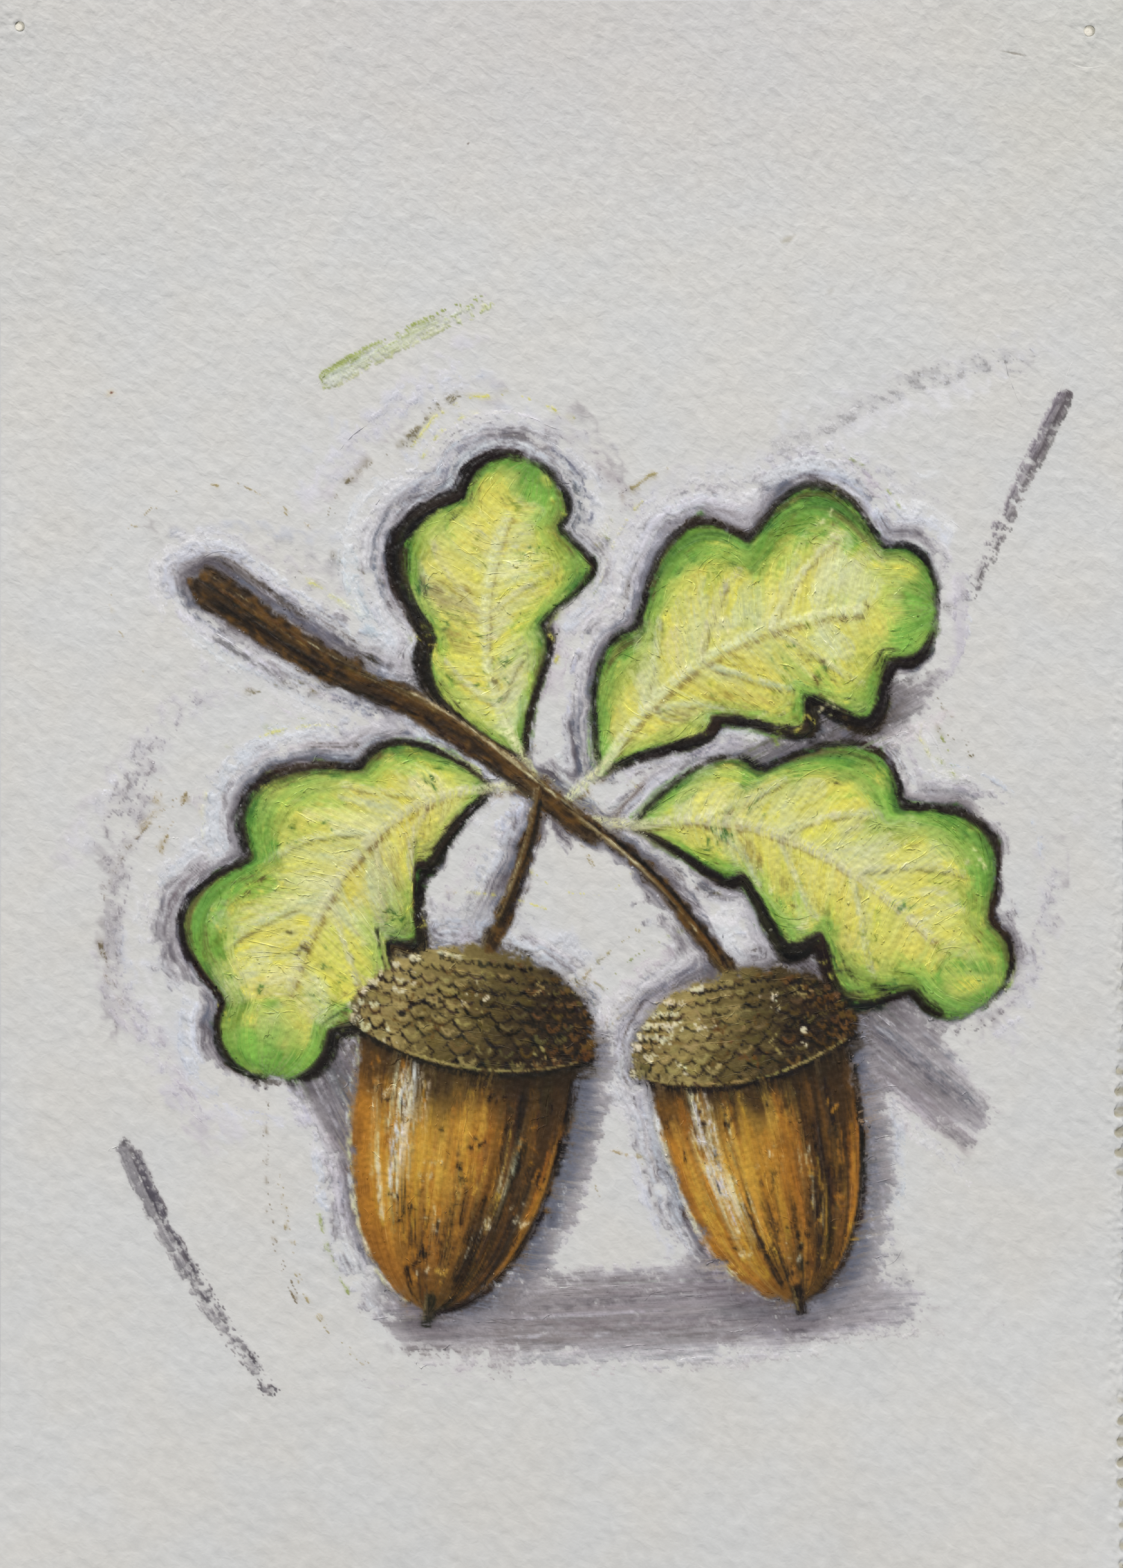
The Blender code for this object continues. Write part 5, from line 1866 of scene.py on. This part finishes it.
def paper_material():
    """Cold-pressed paper: pebbled and creased grain painted darker in its hollows, faint mottling, darker and
    yellower towards the top right corner, specks with painted shade in a dent and along the top edge, a
    painted highlight along a pressed arc, and thin films of pastel.
    """
    wiring = Wiring("cold_pressed_paper")
    place = wiring.place
    film = wiring.attribute("tint")
    pebble, crease = (1.7 * MM, 1.2 * MM, 1.0), (0.8 * MM, 0.65 * MM, 1.0)
    pebbles = wiring.stretched_noise(place, pebble, 2.0, 0.5, 0.4, turn=GRAIN_TURN)
    creases = wiring.stretched_noise(place, crease, 3.0, 0.55, 0.8, turn=GRAIN_TURN + 0.3)
    fuzz = wiring.noise(place, 0.2 * MM, 2.0, 0.6)
    mottle = wiring.noise(place, 16 * MM, 3.0, 0.55)
    mottle = wiring.span(mottle, 0.38, 0.62, 0.0, 1.0)
    paper = wiring.blend("MIX", mottle, seen(208, 208, 207), seen(210, 208, 204))
    corner_tint = wiring.span(wiring.distance(CORNER_TINT_AT), *CORNER_TINT_REACH, 0.25, 0.0)
    paper = wiring.blend("MIX", corner_tint, paper, seen(200, 198, 180))
    for *spot, strength, colour in SPECKS:
        gap = wiring.sum((wiring.distance(*spot), 1.0), (creases, 1.2))
        paper = wiring.blend("MIX", wiring.span(gap, 0.9, 1.5, strength, 0.0), paper, seen(*colour))
    hole_x, hole_y = PIN_HOLES["right"][0]
    ridge = wiring.maths("SUBTRACT", wiring.distance((hole_x, hole_y)), PRESS_RADIUS)
    ridge = wiring.span(wiring.maths("ABSOLUTE", ridge), 0.0, 0.13, 1.0, 0.0)
    fading = wiring.span(wiring.distance((hole_x - 0.6, hole_y - PRESS_RADIUS)), 1.1, 2.4, 1.0, 0.0)
    ridge = wiring.maths("MULTIPLY", ridge, fading)
    # The pressed arc painted lighter along its line: a painted highlight on the side of the groove that faces
    # the light
    paper = wiring.shaded(paper, wiring.span(ridge, 0.0, 1.0, 1.0, 1.2))
    # The grain painted darker in its hollows and lighter on its tops: painted shade and light
    relief = wiring.sum((pebbles, 1.1), (creases, 0.28), (fuzz, 0.08))
    paper = wiring.shaded(paper, wiring.span(relief, 0.5, 0.95, 0.96, 1.03))
    catch = wiring.sum((pebbles, 0.9), (creases, 0.5))
    worn = wiring.maths("ADD", film["Alpha"], wiring.span(catch, 0.5, 0.9, -0.35, 0.3))
    amount = wiring.maths("MULTIPLY", wiring.span(worn, 0.1, 0.9, 0.0, 0.95), film["Alpha"])
    colour = wiring.blend("MIX", amount, paper, film["Color"])
    roughness = wiring.span(amount, 0.0, 1.0, 0.93, 0.7)
    upwards = wiring.add("ShaderNodeSeparateXYZ", Vector=place).outputs["Y"]
    upwards = wiring.span(upwards, -HEIGHT * MM / 2, HEIGHT * MM / 2, 0.55, 1.2)
    relief = wiring.maths("MULTIPLY", relief, upwards)
    normal = wiring.bump(wiring.sum((relief, 1.0), (ridge, 0.2)), 0.13)
    return wiring.finish(Base_Color=colour, Roughness=roughness, Specular_IOR_Level=SHEEN, Normal=normal)


# Torn pulp that fills each pin hole, with a hollow beside a core towards the lower left: painted light on the
# core and painted shade over the hollow
PULP_SHARE = 1.03
PULP_RINGS = 6
PULP_SIDES = 24
PULP_CORE = (-0.22, -0.26)
PULP_CORE_REACH = (0.5, 0.95)
PULP_SINK = 0.02
PULP_HOLLOW = 0.07
PULP_FOOT = 0.1
PULP_LIGHT_AND_SHADE = (240, 234, 220), (178, 174, 160)


def pulp_plug(centre, radius):
    """A closed plug: rings of its top from the rim to the middle, then that rim and middle at its foot."""
    angle = np.linspace(0, 2 * np.pi, PULP_SIDES, endpoint=False)
    circle = stacked(np.cos(angle), np.sin(angle))
    shares = np.linspace(1, 0, PULP_RINGS, endpoint=False)
    flat = np.vstack([*(circle * share for share in shares), [(0.0, 0.0)], circle, [(0.0, 0.0)]])
    top = PULP_RINGS * PULP_SIDES
    away = smooth(*PULP_CORE_REACH, np.linalg.norm(flat - PULP_CORE, axis=1))
    places = np.array(centre) + flat * radius * PULP_SHARE
    level = lifted(*centre) + THICKNESS - PULP_SINK - PULP_HOLLOW * away
    level[top + 1 :] = lifted(*centre) + PULP_FOOT
    here, after = np.arange(PULP_SIDES), np.roll(np.arange(PULP_SIDES), -1)
    faces = []
    for ring in range(PULP_RINGS - 1):
        low, high = ring * PULP_SIDES, (ring + 1) * PULP_SIDES
        faces += [(low + here, low + after, high + after), (low + here, high + after, high + here)]
    last, foot = top - PULP_SIDES, top + 1
    faces.append((last + here, last + after, np.full(PULP_SIDES, top)))
    faces += [(foot + here, foot + after, after), (foot + here, after, here)]
    faces.append((foot + after, foot + here, np.full(PULP_SIDES, foot + PULP_SIDES)))
    # Painted light on the core, turning to painted shade away from it
    tint = mixed(*(np.array(colour, float) for colour in PULP_LIGHT_AND_SHADE), away)
    return wax(np.column_stack([places, level]), np.vstack([stacked(*rows) for rows in faces]), tint)


def pulp_material():
    """Torn paper pulp: its tint, which holds painted light and shade, with fine fibres."""
    wiring = Wiring("torn_pulp")
    fibres = wiring.noise(wiring.place, 0.25 * MM, 4.0, 0.65, 0.8)
    colour = wiring.shaded(wiring.attribute("tint")["Color"], wiring.span(fibres, 0.35, 0.65, 0.88, 1.06))
    roughness = wiring.span(fibres, 0.35, 0.65, 0.85, 0.95)
    return wiring.finish(Base_Color=colour, Roughness=roughness, Normal=wiring.bump(fibres, 0.08))


sheet = Sheet().build()
sheet.data.set_sharp_from_angle(angle=math.radians(50))
sheet.data.materials.append(paper_material())
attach(sheet, "root")
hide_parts("paper_sheet")

plugs = joined([pulp_plug(*hole) for hole in PIN_HOLES.values()])
pulp = make_mesh("pin_hole_pulp", plugs["points"], plugs["faces"], {"tint": plugs["tint"]})
pulp.data.materials.append(pulp_material())
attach(pulp, "root")


# The studio: a plain pale floor, soft light from the drawing's top, and a camera straight above
FLOOR_SIZE = 3.0
FLOOR_DROP = 0.05
LIGHT_AT = (-0.6, 3.3, 2.3)
LIGHT_SIZE = 1.1
LIGHT_POWER = 165.0
LIGHT_COLOUR = (1.0, 0.985, 0.965)
SKY = 0.43
SKY_COLOUR = (0.96, 0.98, 1.0, 1.0)
LENS = 50.0
SENSOR = 36.0
CAMERA_HEIGHT = 0.2872
CAMERA_AT = (-0.1, 1.7)


def build_floor():
    bpy.ops.mesh.primitive_grid_add(x_subdivisions=8, y_subdivisions=8, size=FLOOR_SIZE)
    floor = bpy.context.object
    floor.name = "floor"
    floor.location.z = -FLOOR_DROP * MM
    wiring = Wiring("floor_finish")
    tone = wiring.noise(wiring.place, 25 * MM, 3.0, 0.5)
    colour = wiring.blend("MIX", tone, seen(205, 205, 206), seen(200, 200, 201))
    floor.data.materials.append(wiring.finish(Base_Color=colour, Roughness=0.85))


def build_light():
    lamp = bpy.data.lights.new("soft_light", "AREA")
    lamp.shape = "DISK"
    lamp.size = LIGHT_SIZE
    lamp.energy = LIGHT_POWER
    lamp.color = LIGHT_COLOUR
    item = bpy.data.objects.new("soft_light", lamp)
    item.location = LIGHT_AT
    item.rotation_euler = (-Vector(LIGHT_AT)).to_track_quat("-Z", "Y").to_euler()
    bpy.context.scene.collection.objects.link(item)
    world = bpy.data.worlds.new("studio")
    world.use_nodes = True
    sky = world.node_tree.nodes["Background"]
    sky.inputs["Color"].default_value = SKY_COLOUR
    sky.inputs["Strength"].default_value = SKY
    bpy.context.scene.world = world
    bpy.context.scene.view_settings.view_transform = "Standard"


def build_camera():
    lens = bpy.data.cameras.new("camera")
    lens.lens = LENS
    lens.sensor_width = SENSOR
    lens.clip_start = 0.01
    camera = bpy.data.objects.new("camera", lens)
    camera.location = (CAMERA_AT[0] * MM, CAMERA_AT[1] * MM, CAMERA_HEIGHT + THICKNESS * MM)
    bpy.context.scene.collection.objects.link(camera)
    bpy.context.scene.camera = camera


build_floor()
build_light()
build_camera()
